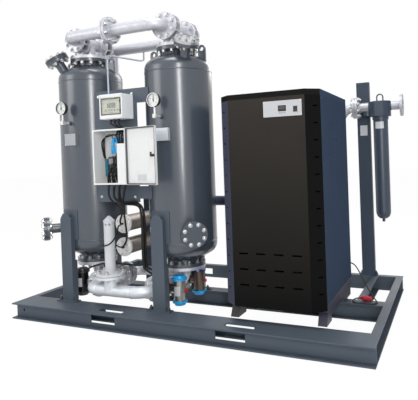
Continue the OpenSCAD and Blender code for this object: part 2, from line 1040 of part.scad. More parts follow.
gear_y = panel_y - box_wall - 16;
module solenoid_valves() {
  color([0.13, 0.38, 0.66]) {
    for (k = [0:3])
      translate([box_x0 + 96 + k * 34, gear_y - 44, box_z0 + 248]) {
        cube([28, 44, 62]);
        translate([4, 10, 62])
          cube([20, 26, 34]);
      }
    translate([box_x0 + 90, gear_y - 30, box_z0 + 228])
      cube([142, 30, 20]);
    translate([box_x0 + 34, gear_y - 40, box_z0 + 60])
      cube([24, 40, 130]);
  }
}

module terminal_gear() {
  color([0.12, 0.12, 0.13]) {
    for (k = [0:9])
      translate([box_x0 + 84 + k * 16, gear_y - 48, box_z0 + 60])
        cube([12, 42, 52]);
    translate([box_x0 + 78, gear_y - 6, box_z0 + 68])
      cube([176, 6, 36]);
    for (k = [0:2])
      translate([box_x0 + 84 + k * 52, gear_y - 62, box_z0 + 138])
        cube([45, 62, 64]);
  }
}

module cable_glands() {
  color([0.16, 0.16, 0.17]) {
    for (x = [60, 110, 160, 210])
      translate([box_x0 + x, box_front + 90, box_z0 - 24])
        rotate_extrude()
          polygon([[0, 0], [9, 0], [12, 8], [15, 8], [15, 24], [9.5, 24], [9.5, 34], [0, 34]]);
    for (x = [50, 85, 120])
      translate([ctl_x0 + x, panel_y - 70, ctl_z0 - 18])
        rotate_extrude()
          polygon([[0, 0], [7, 0], [10, 6], [12, 6], [12, 18], [0, 18]]);
  }
}

// Points of a smooth curve through p, k steps to a span
function curve(p, k) = concat(
  [
    for (i = [0 : len(p) - 2])
      for (j = [0 : k - 1])
        let (a = p[max(i - 1, 0)], b = p[i], c = p[i + 1], d = p[min(i + 2, len(p) - 1)], s = j / k)
          0.5 * (2 * b + (c - a) * s + (2 * a - 5 * b + 4 * c - d) * s * s + (3 * b - a - 3 * c + d) * s * s * s)
  ],
  [p[len(p) - 1]]
);

// Cross directions carried along the curve without twist
function carry(t, u, i) = i == len(t) ? [] :
  let (d = t[i] / norm(t[i]), w = u - d * (u * d), n = w / norm(w))
    concat([[n, cross(d, n)]], carry(t, n, i + 1));

// Round tube swept along a smooth curve through p
module sweep(p, r, n, k) {
  q = curve(p, k);
  m = len(q);
  t = [for (i = [0 : m - 1]) q[min(i + 1, m - 1)] - q[max(i - 1, 0)]];
  f = carry(t, [0.31, 0.92, 0.23], 0);
  pts = [
    for (i = [0 : m - 1])
      for (j = [0 : n - 1])
        q[i] + r * (cos(360 * j / n) * f[i][0] + sin(360 * j / n) * f[i][1])
  ];
  sides = [
    for (i = [0 : m - 2])
      for (j = [0 : n - 1])
        [i * n + j, (i + 1) * n + j, (i + 1) * n + (j + 1) % n, i * n + (j + 1) % n]
  ];
  ends = [[for (j = [0 : n - 1]) j], [for (j = [n - 1 : -1 : 0]) (m - 1) * n + j]];
  polyhedron(points = pts, faces = concat(sides, ends), convexity = 6);
}

// Leads clipped along the panel and down to the heaters and the valves
module cable_harness() {
  gx = box_x0 + 60;
  gy = box_front + 90;
  gz = box_z0 - 24;
  heat_front = heat_y - heat_l - 30;
  yoke_x = tx[1] - low_in + 132;
  yoke_y = tower_y - tee_low - valve_t / 2;
  color([0.07, 0.07, 0.08]) {
    sweep([
      [gx, gy, gz - e], [gx, gy, gz - 60], [gx + 20, gy + 15, gz - 110], [gx + 60, gy + 55, gz - 160],
      [gx + 72, -566, heat_z[1] + 90], [heat_x + 18, -572, heat_z[1] + 34], [heat_x + 12, -556, heat_z[1] + 6],
      [heat_x + 12, heat_front - 2, heat_z[1] + 4]
    ], 7, 8, 4);
    sweep([
      [gx + 50, gy, gz - e], [gx + 52, gy, gz - 80], [gx + 110, gy + 30, gz - 120],
      [gx + 220, gy + 60, gz - 130], [gx + 262, -560, gz - 190], [gx + 268, -556, 700],
      [gx + 268, -556, 440], [gx + 292, -548, 404], [gx + 368, -542, 360], [gx + 420, -540, 314],
      [yoke_x, -532, 272], [yoke_x, yoke_y - 36, low_z + 6]
    ], 9, 8, 4);
    sweep([
      [gx + 100, gy, gz - e], [gx + 102, gy, gz - 60], [gx + 118, gy + 20, gz - 208],
      [gx + 118, -580, heat_z[0] + 94], [heat_x + 50, -572, heat_z[0] + 30], [heat_x + 14, -558, heat_z[0] + 4],
      [heat_x + 14, heat_front - 2, heat_z[0] + 2]
    ], 7, 8, 4);
    sweep([
      [heat_x - 12, heat_front - 2, heat_z[1] - 8], [heat_x - 12, heat_front - 28, heat_z[1] - 14],
      [-514, -604, 656], [-520, -662, 604], [stack_x, -679, 584], [-599, -661, 580], [-609, -625, 584],
      [-592, -586, 584], [-562, -566, 572], [heat_x - 14, heat_front - 26, heat_z[0] + 8],
      [heat_x - 14, heat_front - 2, heat_z[0] + 2]
    ], 5, 8, 4);
  }
}

// Steel sensing line from the rear header to the controller
module sensor_tube() {
  color(zinc)
    sweep([
      [ctl_x0 - 70, tower_y + back_y, top_z - pipe_r - e], [ctl_x0 - 70, tower_y + back_y, top_z - 80],
      [ctl_x0 - 68, tower_y + back_y - 30, top_z - 124], [ctl_x0 - 50, tower_y, top_z - 150],
      [ctl_x0 + 26, panel_y - 40, top_z - 190], [ctl_x0 + 30, panel_y - 60, top_z - 240],
      [ctl_x0 + 30, panel_y - 60, ctl_z0 + ctl_h + 60], [ctl_x0 + 30, panel_y - 60, ctl_z0 + ctl_h + e]
    ], 7, 10, 4);
}

// Moulded controller housing with cover bars above and below its window
module controller_case() {
  color([0.82, 0.83, 0.82])
    translate([ctl_x0, panel_y - ctl_d, ctl_z0])
      difference() {
        cube([ctl_w, ctl_d, ctl_h]);
        translate([8, -e, 26])
          cube([ctl_w - 16, 20, ctl_h - 52]);
        translate([24, 18, 44])
          cube([ctl_w - 48, 30, ctl_h - 88]);
      }
}

// Clear hinged cover over the display
module controller_window() {
  color([0.35, 0.38, 0.33])
    translate([ctl_x0 + 8.5, panel_y - ctl_d + 1, ctl_z0 + 26.5])
      difference() {
        cube([ctl_w - 17, 6, ctl_h - 53]);
        translate([10, 2, 10])
          cube([ctl_w - 37, 10, ctl_h - 73]);
      }
}

// Pressure gauges: round cases on a stem, block and nipple
module gauge_cases() {
  color([0.10, 0.10, 0.11])
    for (i = [0, 1])
      translate([tx[i], gauge_y, gauge_z]) {
        rotate([90, 0, 0])
          difference() {
            rotate_extrude()
              polygon([[0, -16], [42, -16], [47, -10], [47, 10], [50, 12], [50, 22], [0, 22]]);
            translate([0, 0, 10])
              cylinder(r = 45, h = 20);
          }
        translate([0, 0, -100])
          cylinder(r = 8, h = 56);
        translate([-12, -12, -126])
          cube([24, 24, 28]);
        translate([0, 0, -112])
          rotate([-90, 0, 0])
            cylinder(r = 9, h = -gauge_y + tower_y - shell_r - 18);
        rotate([90, 0, 0])
          translate([0, 0, 8])
            cylinder(r = 2, h = 9);
      }
}

module needle() {
  rotate([90, 0, 0])
    difference() {
      union() {
        translate([0, 0, 12])
          cylinder(r = 6, h = 2);
        translate([0, 0, 12.4])
          linear_extrude(1.2)
            polygon([[-2, -16], [2, -16], [3, 0], [1, 36], [-1, 36], [-3, 0]]);
      }
      translate([0, 0, 5])
        cylinder(r = 2.3, h = 20);
    }
}

module left_needle() {
  color([0.05, 0.05, 0.05])
    translate([tx[0], gauge_y, gauge_z])
      needle();
}

module right_needle() {
  color([0.05, 0.05, 0.05])
    translate([tx[1], gauge_y, gauge_z])
      needle();
}

// Floor pan of the cabinet on two runners with slanted front ends
module cooler_base() {
  color([0.13, 0.13, 0.17]) {
    translate([cool_x0, cool_y0, cool_z0 - 45])
      cube([cool_w, cool_d, 45]);
    for (x = [cool_x0 + 10, cool_x1 - 70])
      translate([x, 0, 0])
        rotate([90, 0, 90])
          linear_extrude(60)
            polygon([
              [cool_y0 + 10, rail_h], [cool_y0 + 140, rail_h], [cool_y0 + 140, rail_h + 42],
              [cool_y1 - 230, rail_h + 42], [cool_y1 - 230, rail_h], [cool_y1, rail_h],
              [cool_y1, cool_z0 - 45], [cool_y0 + 60, cool_z0 - 45]
            ]);
  }
}

// Side and back sheets with vent holes in the sides
module cooler_panels() {
  color([0.20, 0.27, 0.36]) {
    for (x = [cool_x0, cool_x1 - sheet])
      difference() {
        translate([x, cool_y0, cool_z0])
          cube([sheet, cool_d, cool_top - 36 - cool_z0]);
        for (r = [0:2])
          for (c = [0:4])
            translate([x - e, cool_y0 + 190 + c * 62, 1405 - r * 103])
              rotate([0, 90, 0])
                cylinder(r = 8, h = sheet + 2 * e, $fn = 24);
        if (x == cool_x0)
          translate([x - e, cross_y, cross_z])
            rotate([0, 90, 0])
              cylinder(r = pipe_r - 5, h = sheet + 2 * e);
      }
    difference() {
      translate([cool_x0 + sheet, cool_y1 - sheet, cool_z0])
        cube([cool_w - 2 * sheet, sheet, cool_top - 36 - cool_z0]);
      for (r = [0:9])
        translate([cool_x0 + 120, cool_y1 - sheet - e, 420 + r * 52])
          cube([cool_w - 240, sheet + 2 * e, 14]);
      translate([cool_x1 - 60, cool_y1 - sheet - e, 352])
        rotate([-90, 0, 0])
          cylinder(r = 12, h = sheet + 2 * e);
      translate([940, cool_y1 - sheet - e, 1340])
        rotate([-90, 0, 0])
          cylinder(r = line_r + 2, h = sheet + 2 * e);
    }
  }
}

// Plan of the cabinet with a bevelled front
module cooler_plan(back) {
  polygon([
    [cool_x0, cool_y0], [cool_x0 + bevel_w, door_y], [cool_x1 - bevel_w, door_y], [cool_x1, cool_y0],
    [cool_x1, back], [cool_x0, back]
  ]);
}

module cooler_top_cover() {
  color([0.16, 0.18, 0.22])
    translate([0, 0, door_z1])
      difference() {
        linear_extrude(cool_top - door_z1)
          cooler_plan(cool_y1);
        translate([0, 0, -e])
          linear_extrude(cool_top - door_z1 - sheet + e)
            translate([cool_x0 + sheet, cool_y0 + sheet])
              square([cool_w - 2 * sheet, cool_d - 2 * sheet]);
      }
}

// Bevelled door with three rows of slots below and a notch row on each bevel
module cooler_door() {
  fw = cool_w - 2 * bevel_w;
  color([0.13, 0.12, 0.11])
    difference() {
      union() {
        translate([0, 0, door_z0])
          linear_extrude(door_z1 - door_z0)
            polygon([
              [cool_x0, cool_y0], [cool_x0 + bevel_w, door_y], [cool_x1 - bevel_w, door_y], [cool_x1, cool_y0],
              [cool_x1 - 6, cool_y0], [cool_x1 - bevel_w - 2, door_y + 4], [cool_x0 + bevel_w + 2, door_y + 4],
              [cool_x0 + 6, cool_y0]
            ]);
        for (z = [door_z0, door_z1 - sheet])
          translate([0, 0, z])
            linear_extrude(sheet)
              polygon([
                [cool_x0, cool_y0], [cool_x0 + bevel_w, door_y], [cool_x1 - bevel_w, door_y], [cool_x1, cool_y0]
              ]);
      }
      for (r = [0:2])
        for (c = [0:3])
          translate([cool_x0 + bevel_w + fw * (0.085 + 0.232 * c), door_y - e, 364 + r * 103])
            cube([fw * 0.122, 8, 11]);
      translate([724 + 199, door_y - e, 1453 + 22])
        cube([30, 8, 40]);
      for (s = [0, 1])
        for (r = [0:11])
          translate([s == 0 ? cool_x0 + bevel_w * 0.35 : cool_x1 - bevel_w * 0.35, cool_y0 - bevel_d * 0.35, 330 + r * 107])
            rotate([0, 0, s == 0 ? -atan(bevel_d / bevel_w) : atan(bevel_d / bevel_w)])
              translate([-15, -20, 0])
                cube([30, 40, 8]);
    }
}

// Silver control plate with the display recess and the switch frame
module control_plate() {
  color([0.75, 0.76, 0.78])
    translate([724, door_y - 3, 1453])
      difference() {
        cube([256, 3, 100]);
        translate([100, -e, 32])
          cube([54, 3, 38]);
        translate([200.5, -e, 24])
          cube([27, 5, 36]);
      }
}

module rocker_switch() {
  color([0.04, 0.04, 0.04])
    translate([724 + 199 + 15, door_y - 1, 1453 + 42])
      rotate([0, 90, 0])
        translate([0, 0, -13])
          linear_extrude(26)
            difference() {
              polygon([[-17, -5], [0, -3.4], [17, -8], [17, 0], [5, 3.4], [-5, 3.4], [-17, 0]]);
              circle(1.4, $fn = 32);
            }
}

// Compressor and plate exchanger on the cabinet floor
module cooling_unit() {
  color([0.10, 0.10, 0.11]) {
    translate([cool_x0 + 230, cool_y0 + 260, cool_z0])
      rotate_extrude()
        polygon([[0, 0], [120, 0], [120, 12], [105, 30], [105, 250], [80, 300], [0, 310]]);
    translate([cool_x0 + 390, cool_y0 + 150, cool_z0])
      cube([160, 320, 620]);
    translate([cool_x0 + 90, cool_y1 - 90, cool_z0])
      cube([cool_w - 180, 60, 700]);
  }
}

// Inlet line: flange, filter head with its lugs, bail, and pipe to the cabinet back
module filter_line(r, grow) {
  translate([940 + bend_low, filt_y, inlet_z])
    pipe_x(r, 1440 + 20 - 940 - bend_low + grow);
  translate([940 + bend_low, filt_y, inlet_z - bend_low])
    rotate([90, 0, 0])
      bend(r, bend_low, 90);
  translate([940, filt_y, 1340 + bend_low])
    cylinder(r = r, h = inlet_z - 1340 - 2 * bend_low);
  translate([940, filt_y - bend_low, 1340 + bend_low])
    rotate([0, 90, 0])
      bend(r, bend_low, 0);
  translate([940, cool_y1 - grow, 1340])
    rotate([-90, 0, 0])
      cylinder(r = r, h = filt_y - bend_low - cool_y1 + grow);
}

module filter_head() {
  h0 = inlet_z - 86;
  color(zinc)
    difference() {
      union() {
        filter_line(line_r, 0);
        translate([1440, filt_y, inlet_z])
          rotate([0, 90, 0])
            flange(line_flange_r, flange_t);
        for (x = [1052, 1074])
          translate([x, filt_y, inlet_z])
            rotate([0, 90, 0])
              flange(line_flange_r, flange_t);
        translate([filt_x, filt_y, h0])
          rotate([0, 0, 22.5])
            cylinder(r = 92, h = 126, $fn = 8);
        translate([filt_x, filt_y, h0 - 26])
          cylinder(r = bowl_r + 6, h = 30);
        translate([filt_x, filt_y + 6, h0 + 126])
          rotate([90, 0, 0])
            linear_extrude(12)
              difference() {
                union() {
                  translate([0, 36])
                    circle(30);
                  translate([-30, 0])
                    square([60, 36]);
                }
                translate([0, 36])
                  circle(20);
                translate([-20, 8])
                  square([40, 28]);
              }
      }
      filter_line(line_r - 3.5, e);
      translate([1440 - e, filt_y, inlet_z])
        rotate([0, 90, 0])
          for (a = [22.5:45:359])
            rotate([0, 0, a])
              translate([72.5, 0, 0])
                cylinder(r = 9, h = flange_t + 2 * e, $fn = 32);
    }
}

module filter_bowl() {
  z1 = inlet_z - 112;
  color([0.25, 0.29, 0.35])
    translate([filt_x, filt_y, z1 - bowl_l]) {
      rotate_extrude()
        polygon([
          [0, 0], [bowl_r * 0.5, 6], [bowl_r * 0.82, 22], [bowl_r * 0.97, 46], [bowl_r, 64], [bowl_r, bowl_l],
          [0, bowl_l]
        ]);
      translate([0, 0, -22])
        cylinder(r = 12, h = 26);
    }
}

// Folded post on the rear rail with the bracket that carries the filter line
module filter_post() {
  color(paint) {
    translate([post_x - post_w / 2, post_y0 + 2.5, rail_h])
      rotate(180, [1, 0, 1])
        channel(post_top - rail_h, post_w, 50, 6, 6);
    translate([post_x - post_w / 2 - 10, post_y0, rail_h])
      cube([post_w + 20, rail_b, 10]);
    difference() {
      translate([post_x + 22, filt_y - 8, inlet_z - line_r - 34])
        cube([26, post_y0 - filt_y + 13, 40]);
      translate([post_x, filt_y, inlet_z])
        pipe_x(line_r, 80);
    }
  }
}

module power_cord() {
  color([0.05, 0.05, 0.05])
    sweep(cord_pts, cord_r, 10, 3);
}

module power_plug() {
  last = cord_pts[len(cord_pts) - 1];
  color([0.80, 0.14, 0.22])
    translate([last[0] + 0.6, last[1], rail_h + 18.3])
      rotate([0, 90, 0])
        rotate_extrude()
          polygon([[0, 0], [8, 0], [12, 14], [18, 20], [18, 60], [15, 60], [15, 84], [0, 84]]);
}

front_rail();
rear_rail();
left_rail();
right_rail();
front_deck();
mid_beam();
cross_beam();
left_vessel();
right_vessel();
vessel_legs();
desiccant_beds();
bed_screens();
port_covers();
nameplates();
top_tees();
check_valves();
left_outlet_spool();
right_outlet_spool();
rear_header();
bottom_tees();
valve_bodies();
left_exhaust_disc();
right_exhaust_disc();
left_inlet_disc();
right_inlet_disc();
actuator_bodies();
actuator_caps();
exhaust_header();
exhaust_stack();
inlet_header();
heater_shells();
heater_covers();
heater_post();
mounting_panel();
enclosure_box();
enclosure_door();
door_lock();
back_plate();
solenoid_valves();
terminal_gear();
cable_glands();
cable_harness();
sensor_tube();
controller_case();
controller_window();
gauge_cases();
left_needle();
right_needle();
cooler_base();
cooler_panels();
cooler_top_cover();
cooler_door();
control_plate();
rocker_switch();
cooling_unit();
filter_head();
filter_bowl();
filter_post();
power_cord();
power_plug();
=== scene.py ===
# Desiccant air dryer on a steel skid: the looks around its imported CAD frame.
# Metres, in the frame of the CAD model. +Z is up and +X runs along the front.
import math

import bmesh
import bpy
from mathutils import Matrix, Vector


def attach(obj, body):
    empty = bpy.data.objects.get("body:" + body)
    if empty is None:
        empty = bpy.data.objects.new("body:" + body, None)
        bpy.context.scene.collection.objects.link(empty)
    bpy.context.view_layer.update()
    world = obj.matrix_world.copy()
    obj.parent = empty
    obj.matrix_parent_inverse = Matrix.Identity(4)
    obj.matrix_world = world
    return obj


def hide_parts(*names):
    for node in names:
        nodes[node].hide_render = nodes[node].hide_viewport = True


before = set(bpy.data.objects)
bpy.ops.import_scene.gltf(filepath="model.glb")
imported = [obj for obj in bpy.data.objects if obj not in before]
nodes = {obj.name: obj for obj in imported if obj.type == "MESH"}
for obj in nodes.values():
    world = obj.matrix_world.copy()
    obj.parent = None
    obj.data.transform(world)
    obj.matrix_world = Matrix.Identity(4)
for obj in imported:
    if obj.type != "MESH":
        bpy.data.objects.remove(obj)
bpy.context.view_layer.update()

# Camera: stands in front of the right end, a little below mid height.
# Lens, tilt and shift repeat the framing of the photograph.
EYE = Vector((1.8342, -3.4553, 1.2173))
YAW, PITCH, ROLL = math.radians(22.91), math.radians(-0.30), math.radians(-2.05)
ahead = Vector((-math.sin(YAW) * math.cos(PITCH), math.cos(YAW) * math.cos(PITCH), math.sin(PITCH)))
level = Vector((math.cos(YAW), math.sin(YAW), 0))
above = level.cross(ahead)
across = math.cos(ROLL) * level + math.sin(ROLL) * above
upward = -math.sin(ROLL) * level + math.cos(ROLL) * above
lens = bpy.data.cameras.new("camera")
lens.sensor_width = 36
lens.lens = 40.63
lens.shift_x = -0.108
lens.shift_y = -0.102
camera = bpy.data.objects.new("camera", lens)
bpy.context.scene.collection.objects.link(camera)
camera.matrix_world = Matrix.Translation(EYE) @ Matrix((across, upward, -ahead)).transposed().to_4x4()
bpy.context.scene.camera = camera
bpy.context.scene.view_settings.view_transform = "Standard"

# Power cord: a black rubber mains lead from the cabinet's back panel.
# It hangs to the middle beam, lies there in one bight and ends in its plug.
CORD_ROUTE = [
    (1.020, 0.166, 0.352), (1.020, 0.200, 0.352), (1.025, 0.222, 0.351), (1.042, 0.243, 0.347),
    (1.068, 0.251, 0.339), (1.097, 0.243, 0.324), (1.130, 0.214, 0.289), (1.165, 0.176, 0.244),
    (1.200, 0.137, 0.198), (1.234, 0.098, 0.160), (1.262, 0.064, 0.137), (1.283, 0.030, 0.127),
    (1.294, 0.005, 0.125), (1.297, -0.016, 0.125), (1.289, -0.036, 0.125), (1.272, -0.049, 0.125),
    (1.250, -0.052, 0.125), (1.206, -0.052, 0.125), (1.162, -0.052, 0.125), (1.1428, -0.0468, 0.125),
    (1.1287, -0.0328, 0.125), (1.1235, -0.0135, 0.126), (1.1287, 0.0058, 0.130), (1.1428, 0.0198, 0.135),
    (1.162, 0.025, 0.138), (1.170, 0.025, 0.138),
]
CORD_RADIUS = 0.0045
CORD_EXIT = (1.020, 0.170, 0.352)


def smooth_route(points, steps):
    """Points of a smooth curve through the given ones, steps to a span."""
    p = [Vector(q) for q in points]
    out = []
    for i in range(len(p) - 1):
        a, b, c, d = p[max(i - 1, 0)], p[i], p[i + 1], p[min(i + 2, len(p) - 1)]
        for j in range(steps):
            s = j / steps
            out.append(0.5 * (2 * b + (c - a) * s + (2 * a - 5 * b + 4 * c - d) * s**2
                              + (3 * b - a - 3 * c + d) * s**3))
    return out + [p[-1]]


def tube_into(bm, path, radius, sides):
    """Adds a closed round tube along path to bm."""
    rings = []
    normal = Vector((0.31, 0.92, 0.23))
    for i, point in enumerate(path):
        run = (path[min(i + 1, len(path) - 1)] - path[max(i - 1, 0)]).normalized()
        normal = (normal - run * normal.dot(run)).normalized()
        other = run.cross(normal)
        turns = [2 * math.pi * k / sides for k in range(sides)]
        rings.append([bm.verts.new(point + radius * (math.cos(t) * normal + math.sin(t) * other))
                      for t in turns])
    for low, high in zip(rings, rings[1:]):
        for k in range(sides):
            m = (k + 1) % sides
            bm.faces.new((low[k], low[m], high[m], high[k])).smooth = True
    bm.faces.new(list(reversed(rings[0])))
    bm.faces.new(rings[-1])


def settle(name, bm, material, body):
    """Turns bm into a finished piece on a body."""
    bmesh.ops.recalc_face_normals(bm, faces=bm.faces)
    mesh = bpy.data.meshes.new(name)
    bm.to_mesh(mesh)
    bm.free()
    mesh.materials.append(material)
    piece = bpy.data.objects.new(name, mesh)
    bpy.context.scene.collection.objects.link(piece)
    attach(piece, body)
    return piece


def uneven_coat():
    """Shader group: patches of a second tint with a roughness that follows them, and a fine grain for the
    height.
    """
    group = bpy.data.node_groups.new("uneven_coat", "ShaderNodeTree")
    face = group.interface
    for label, kind in (("Vector", "Vector"), ("Colour", "Color"), ("Tint", "Color"), ("Scale", "Float"),
                        ("Patch", "Float"), ("Rough", "Float"), ("Spread", "Float")):
        face.new_socket(label, in_out="INPUT", socket_type="NodeSocket" + kind)
    for label, kind in (("Colour", "Color"), ("Roughness", "Float"), ("Height", "Float")):
        face.new_socket(label, in_out="OUTPUT", socket_type="NodeSocket" + kind)
    make, link = group.nodes.new, group.links.new
    given, result = make("NodeGroupInput"), make("NodeGroupOutput")
    patches, grain = make("ShaderNodeTexNoise"), make("ShaderNodeTexNoise")
    patches.inputs["Detail"].default_value = 5
    grain.inputs["Detail"].default_value = 3
    finer, share, blend, spread = (make("ShaderNodeMath"), make("ShaderNodeMath"),
                                   make("ShaderNodeMix"), make("ShaderNodeMath"))
    finer.operation, share.operation, spread.operation = "MULTIPLY", "MULTIPLY", "MULTIPLY_ADD"
    finer.inputs[1].default_value = 24
    blend.data_type = "RGBA"
    link(given.outputs["Vector"], patches.inputs["Vector"])
    link(given.outputs["Vector"], grain.inputs["Vector"])
    link(given.outputs["Scale"], patches.inputs["Scale"])
    link(given.outputs["Scale"], finer.inputs[0])
    link(finer.outputs[0], grain.inputs["Scale"])
    link(patches.outputs["Fac"], share.inputs[0])
    link(given.outputs["Patch"], share.inputs[1])
    link(share.outputs[0], blend.inputs["Factor"])
    link(given.outputs["Colour"], blend.inputs["A"])
    link(given.outputs["Tint"], blend.inputs["B"])
    link(patches.outputs["Fac"], spread.inputs[0])
    link(given.outputs["Spread"], spread.inputs[1])
    link(given.outputs["Rough"], spread.inputs[2])
    link(blend.outputs["Result"], result.inputs["Colour"])
    link(spread.outputs[0], result.inputs["Roughness"])
    link(grain.outputs["Fac"], result.inputs["Height"])
    return group


COAT = uneven_coat()


def coated(name, colour, tint, scale, patch, rough, spread, bump, metallic=0.0, stretch=(1, 1, 1),
           shine=0.5):
    """Material on the uneven coat: written colour, second tint, and the size and strength of its marks."""
    material = bpy.data.materials.new(name)
    material.use_nodes = True
    make, link = material.node_tree.nodes.new, material.node_tree.links.new
    shader = material.node_tree.nodes["Principled BSDF"]
    place, turn, group, relief = (make("ShaderNodeTexCoord"), make("ShaderNodeMapping"),
                                  make("ShaderNodeGroup"), make("ShaderNodeBump"))
    group.node_tree = COAT
    turn.inputs["Scale"].default_value = stretch
    for label, value in (("Colour", (*colour, 1)), ("Tint", (*tint, 1)), ("Scale", scale),
                         ("Patch", patch), ("Rough", rough), ("Spread", spread)):
        group.inputs[label].default_value = value
    relief.inputs["Strength"].default_value = bump
    relief.inputs["Distance"].default_value = 0.001
    shader.inputs["Metallic"].default_value = metallic
    shader.inputs["Specular IOR Level"].default_value = shine
    link(place.outputs["Object"], turn.inputs["Vector"])
    link(turn.outputs["Vector"], group.inputs["Vector"])
    link(group.outputs["Colour"], shader.inputs["Base Color"])
    link(group.outputs["Roughness"], shader.inputs["Roughness"])
    link(group.outputs["Height"], relief.inputs["Height"])
    link(relief.outputs["Normal"], shader.inputs["Normal"])
    return material


def dress(material, *names):
    """Gives the CAD nodes of these names one material."""
    for name in names:
        for slot in nodes[name].material_slots:
            slot.material = material


def zoned(material, low, high, colour, metallic=None, faded=False):
    """Gives a coated material another colour inside a box, or fades it to that towards the box's middle."""
    tree = material.node_tree
    make, link = tree.nodes.new, tree.links.new
    shader = tree.nodes["Principled BSDF"]
    where, reach, size = (make("ShaderNodeTexCoord"), make("ShaderNodeMapping"),
                          make("ShaderNodeVectorMath"))
    axes, mix = make("ShaderNodeSeparateXYZ"), make("ShaderNodeMix")
    pair, most, inside = (make("ShaderNodeMath") for _ in range(3))
    reach.vector_type = "TEXTURE"
    reach.inputs["Location"].default_value = (Vector(low) + Vector(high)) / 2
    reach.inputs["Scale"].default_value = (Vector(high) - Vector(low)) / 2
    size.operation, inside.operation = "ABSOLUTE", "LESS_THAN"
    pair.operation = most.operation = "MAXIMUM"
    inside.inputs[1].default_value = 1
    if faded:
        inside.operation = "MULTIPLY_ADD"
        inside.inputs[1].default_value = -1
        inside.inputs[2].default_value = 1
        inside.use_clamp = True
    mix.data_type = "RGBA"
    mix.inputs["B"].default_value = (*colour, 1)
    link(where.outputs["Object"], reach.inputs["Vector"])
    link(reach.outputs["Vector"], size.inputs[0])
    link(size.outputs["Vector"], axes.inputs[0])
    link(axes.outputs["X"], pair.inputs[0])
    link(axes.outputs["Y"], pair.inputs[1])
    link(pair.outputs[0], most.inputs[0])
    link(axes.outputs["Z"], most.inputs[1])
    link(most.outputs[0], inside.inputs[0])
    link(shader.inputs["Base Color"].links[0].from_socket, mix.inputs["A"])
    link(inside.outputs[0], mix.inputs["Factor"])
    link(mix.outputs["Result"], shader.inputs["Base Color"])
    if metallic is not None:
        metal, outside = make("ShaderNodeMath"), shader.inputs["Metallic"].default_value
        metal.operation = "MULTIPLY_ADD"
        metal.inputs[1].default_value = metallic - outside
        metal.inputs[2].default_value = outside
        link(inside.outputs[0], metal.inputs[0])
        link(metal.outputs[0], shader.inputs["Metallic"])
    return material


rubber = coated("cord_rubber", (0.008, 0.008, 0.009), (0.02, 0.02, 0.02), 30, 0.8, 0.5, 0.2, 0.1)
cord_path = smooth_route(CORD_ROUTE, 3)
bm = bmesh.new()
tube_into(bm, cord_path, CORD_RADIUS, 12)
power_lead = settle("power_lead", bm, rubber, "frame")
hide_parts("power_cord")
red_mould = coated("red_moulding", (0.60, 0.012, 0.040), (0.42, 0.008, 0.028), 40, 0.6, 0.30, 0.15, 0.05)
dress(red_mould, "power_plug")


def lathe_into(bm, profile, place, sides=32):
    """Adds a turned shape to bm: profile is (radius, height) from end to end, on place's Z axis."""
    rings = []
    for radius, height in profile:
        if radius < 1e-6:
            rings.append([bm.verts.new(place @ Vector((0, 0, height)))])
            continue
        turns = [2 * math.pi * k / sides for k in range(sides)]
        ring = [Vector((radius * math.cos(t), radius * math.sin(t), height)) for t in turns]
        rings.append([bm.verts.new(place @ point) for point in ring])
    for low, high in zip(rings, rings[1:]):
        for k in range(sides):
            m = (k + 1) % sides
            corners = [low[k % len(low)], low[m % len(low)], high[m % len(high)], high[k % len(high)]]
            corners = list(dict.fromkeys(corners))
            if len(corners) > 2:
                bm.faces.new(corners)


# Strain relief: a ribbed, tapered rubber boot in the hole of the back panel.
# It grips the lead for a few diameters, so the lead leaves the panel straight.
RIB_STEP = 0.005
boot = [(0, -0.004), (0.0112, -0.004), (0.0112, 0.0), (0.015, 0.0005), (0.015, 0.005), (0.0105, 0.0065)]
for rib in range(5):
    groove = 0.0088 - 0.0007 * rib
    boot += [(0.0105 - 0.0008 * rib, 0.008 + RIB_STEP * rib), (groove, 0.0095 + RIB_STEP * rib),
             (groove, 0.0115 + RIB_STEP * rib)]
boot += [(0.0048, 0.034), (0, 0.034)]
bm = bmesh.new()
lathe_into(bm, boot, Matrix.Translation(CORD_EXIT) @ Matrix.Rotation(math.radians(-90), 4, "X"), 20)
settle("cord_boot", bm, rubber, "frame")

# Skid: rolled channels and a deck plate, welded and sprayed blue-grey.
# Nuts on dark washers hold the feet of the tower legs and of the post down.
SKID_MARKS = (6, 0.9, 0.40, 0.14, 0.06)
grey_paint = coated("skid_paint", (0.077, 0.096, 0.122), (0.060, 0.077, 0.100), *SKID_MARKS, shine=0.35)
dress(grey_paint, "front_rail", "rear_rail", "left_rail", "right_rail", "front_deck", "mid_beam",
      "cross_beam", "vessel_legs", "heater_post", "mounting_panel")
post_paint = coated("post_paint", (0.040, 0.058, 0.086), (0.031, 0.046, 0.069), *SKID_MARKS, shine=0.35)
dress(post_paint, "filter_post")
bright_steel = coated("bright_fastener", (0.62, 0.63, 0.64), (0.42, 0.42, 0.42),
                      60, 0.7, 0.26, 0.2, 0.05, 1.0)
foot_steel = coated("foot_nut", (0.16, 0.17, 0.18), (0.10, 0.10, 0.11), 60, 0.7, 0.24, 0.2, 0.05, 0.9)
dark_steel = coated("dark_washer", (0.05, 0.05, 0.055), (0.12, 0.12, 0.12), 60, 0.7, 0.4, 0.2, 0.05, 0.8)


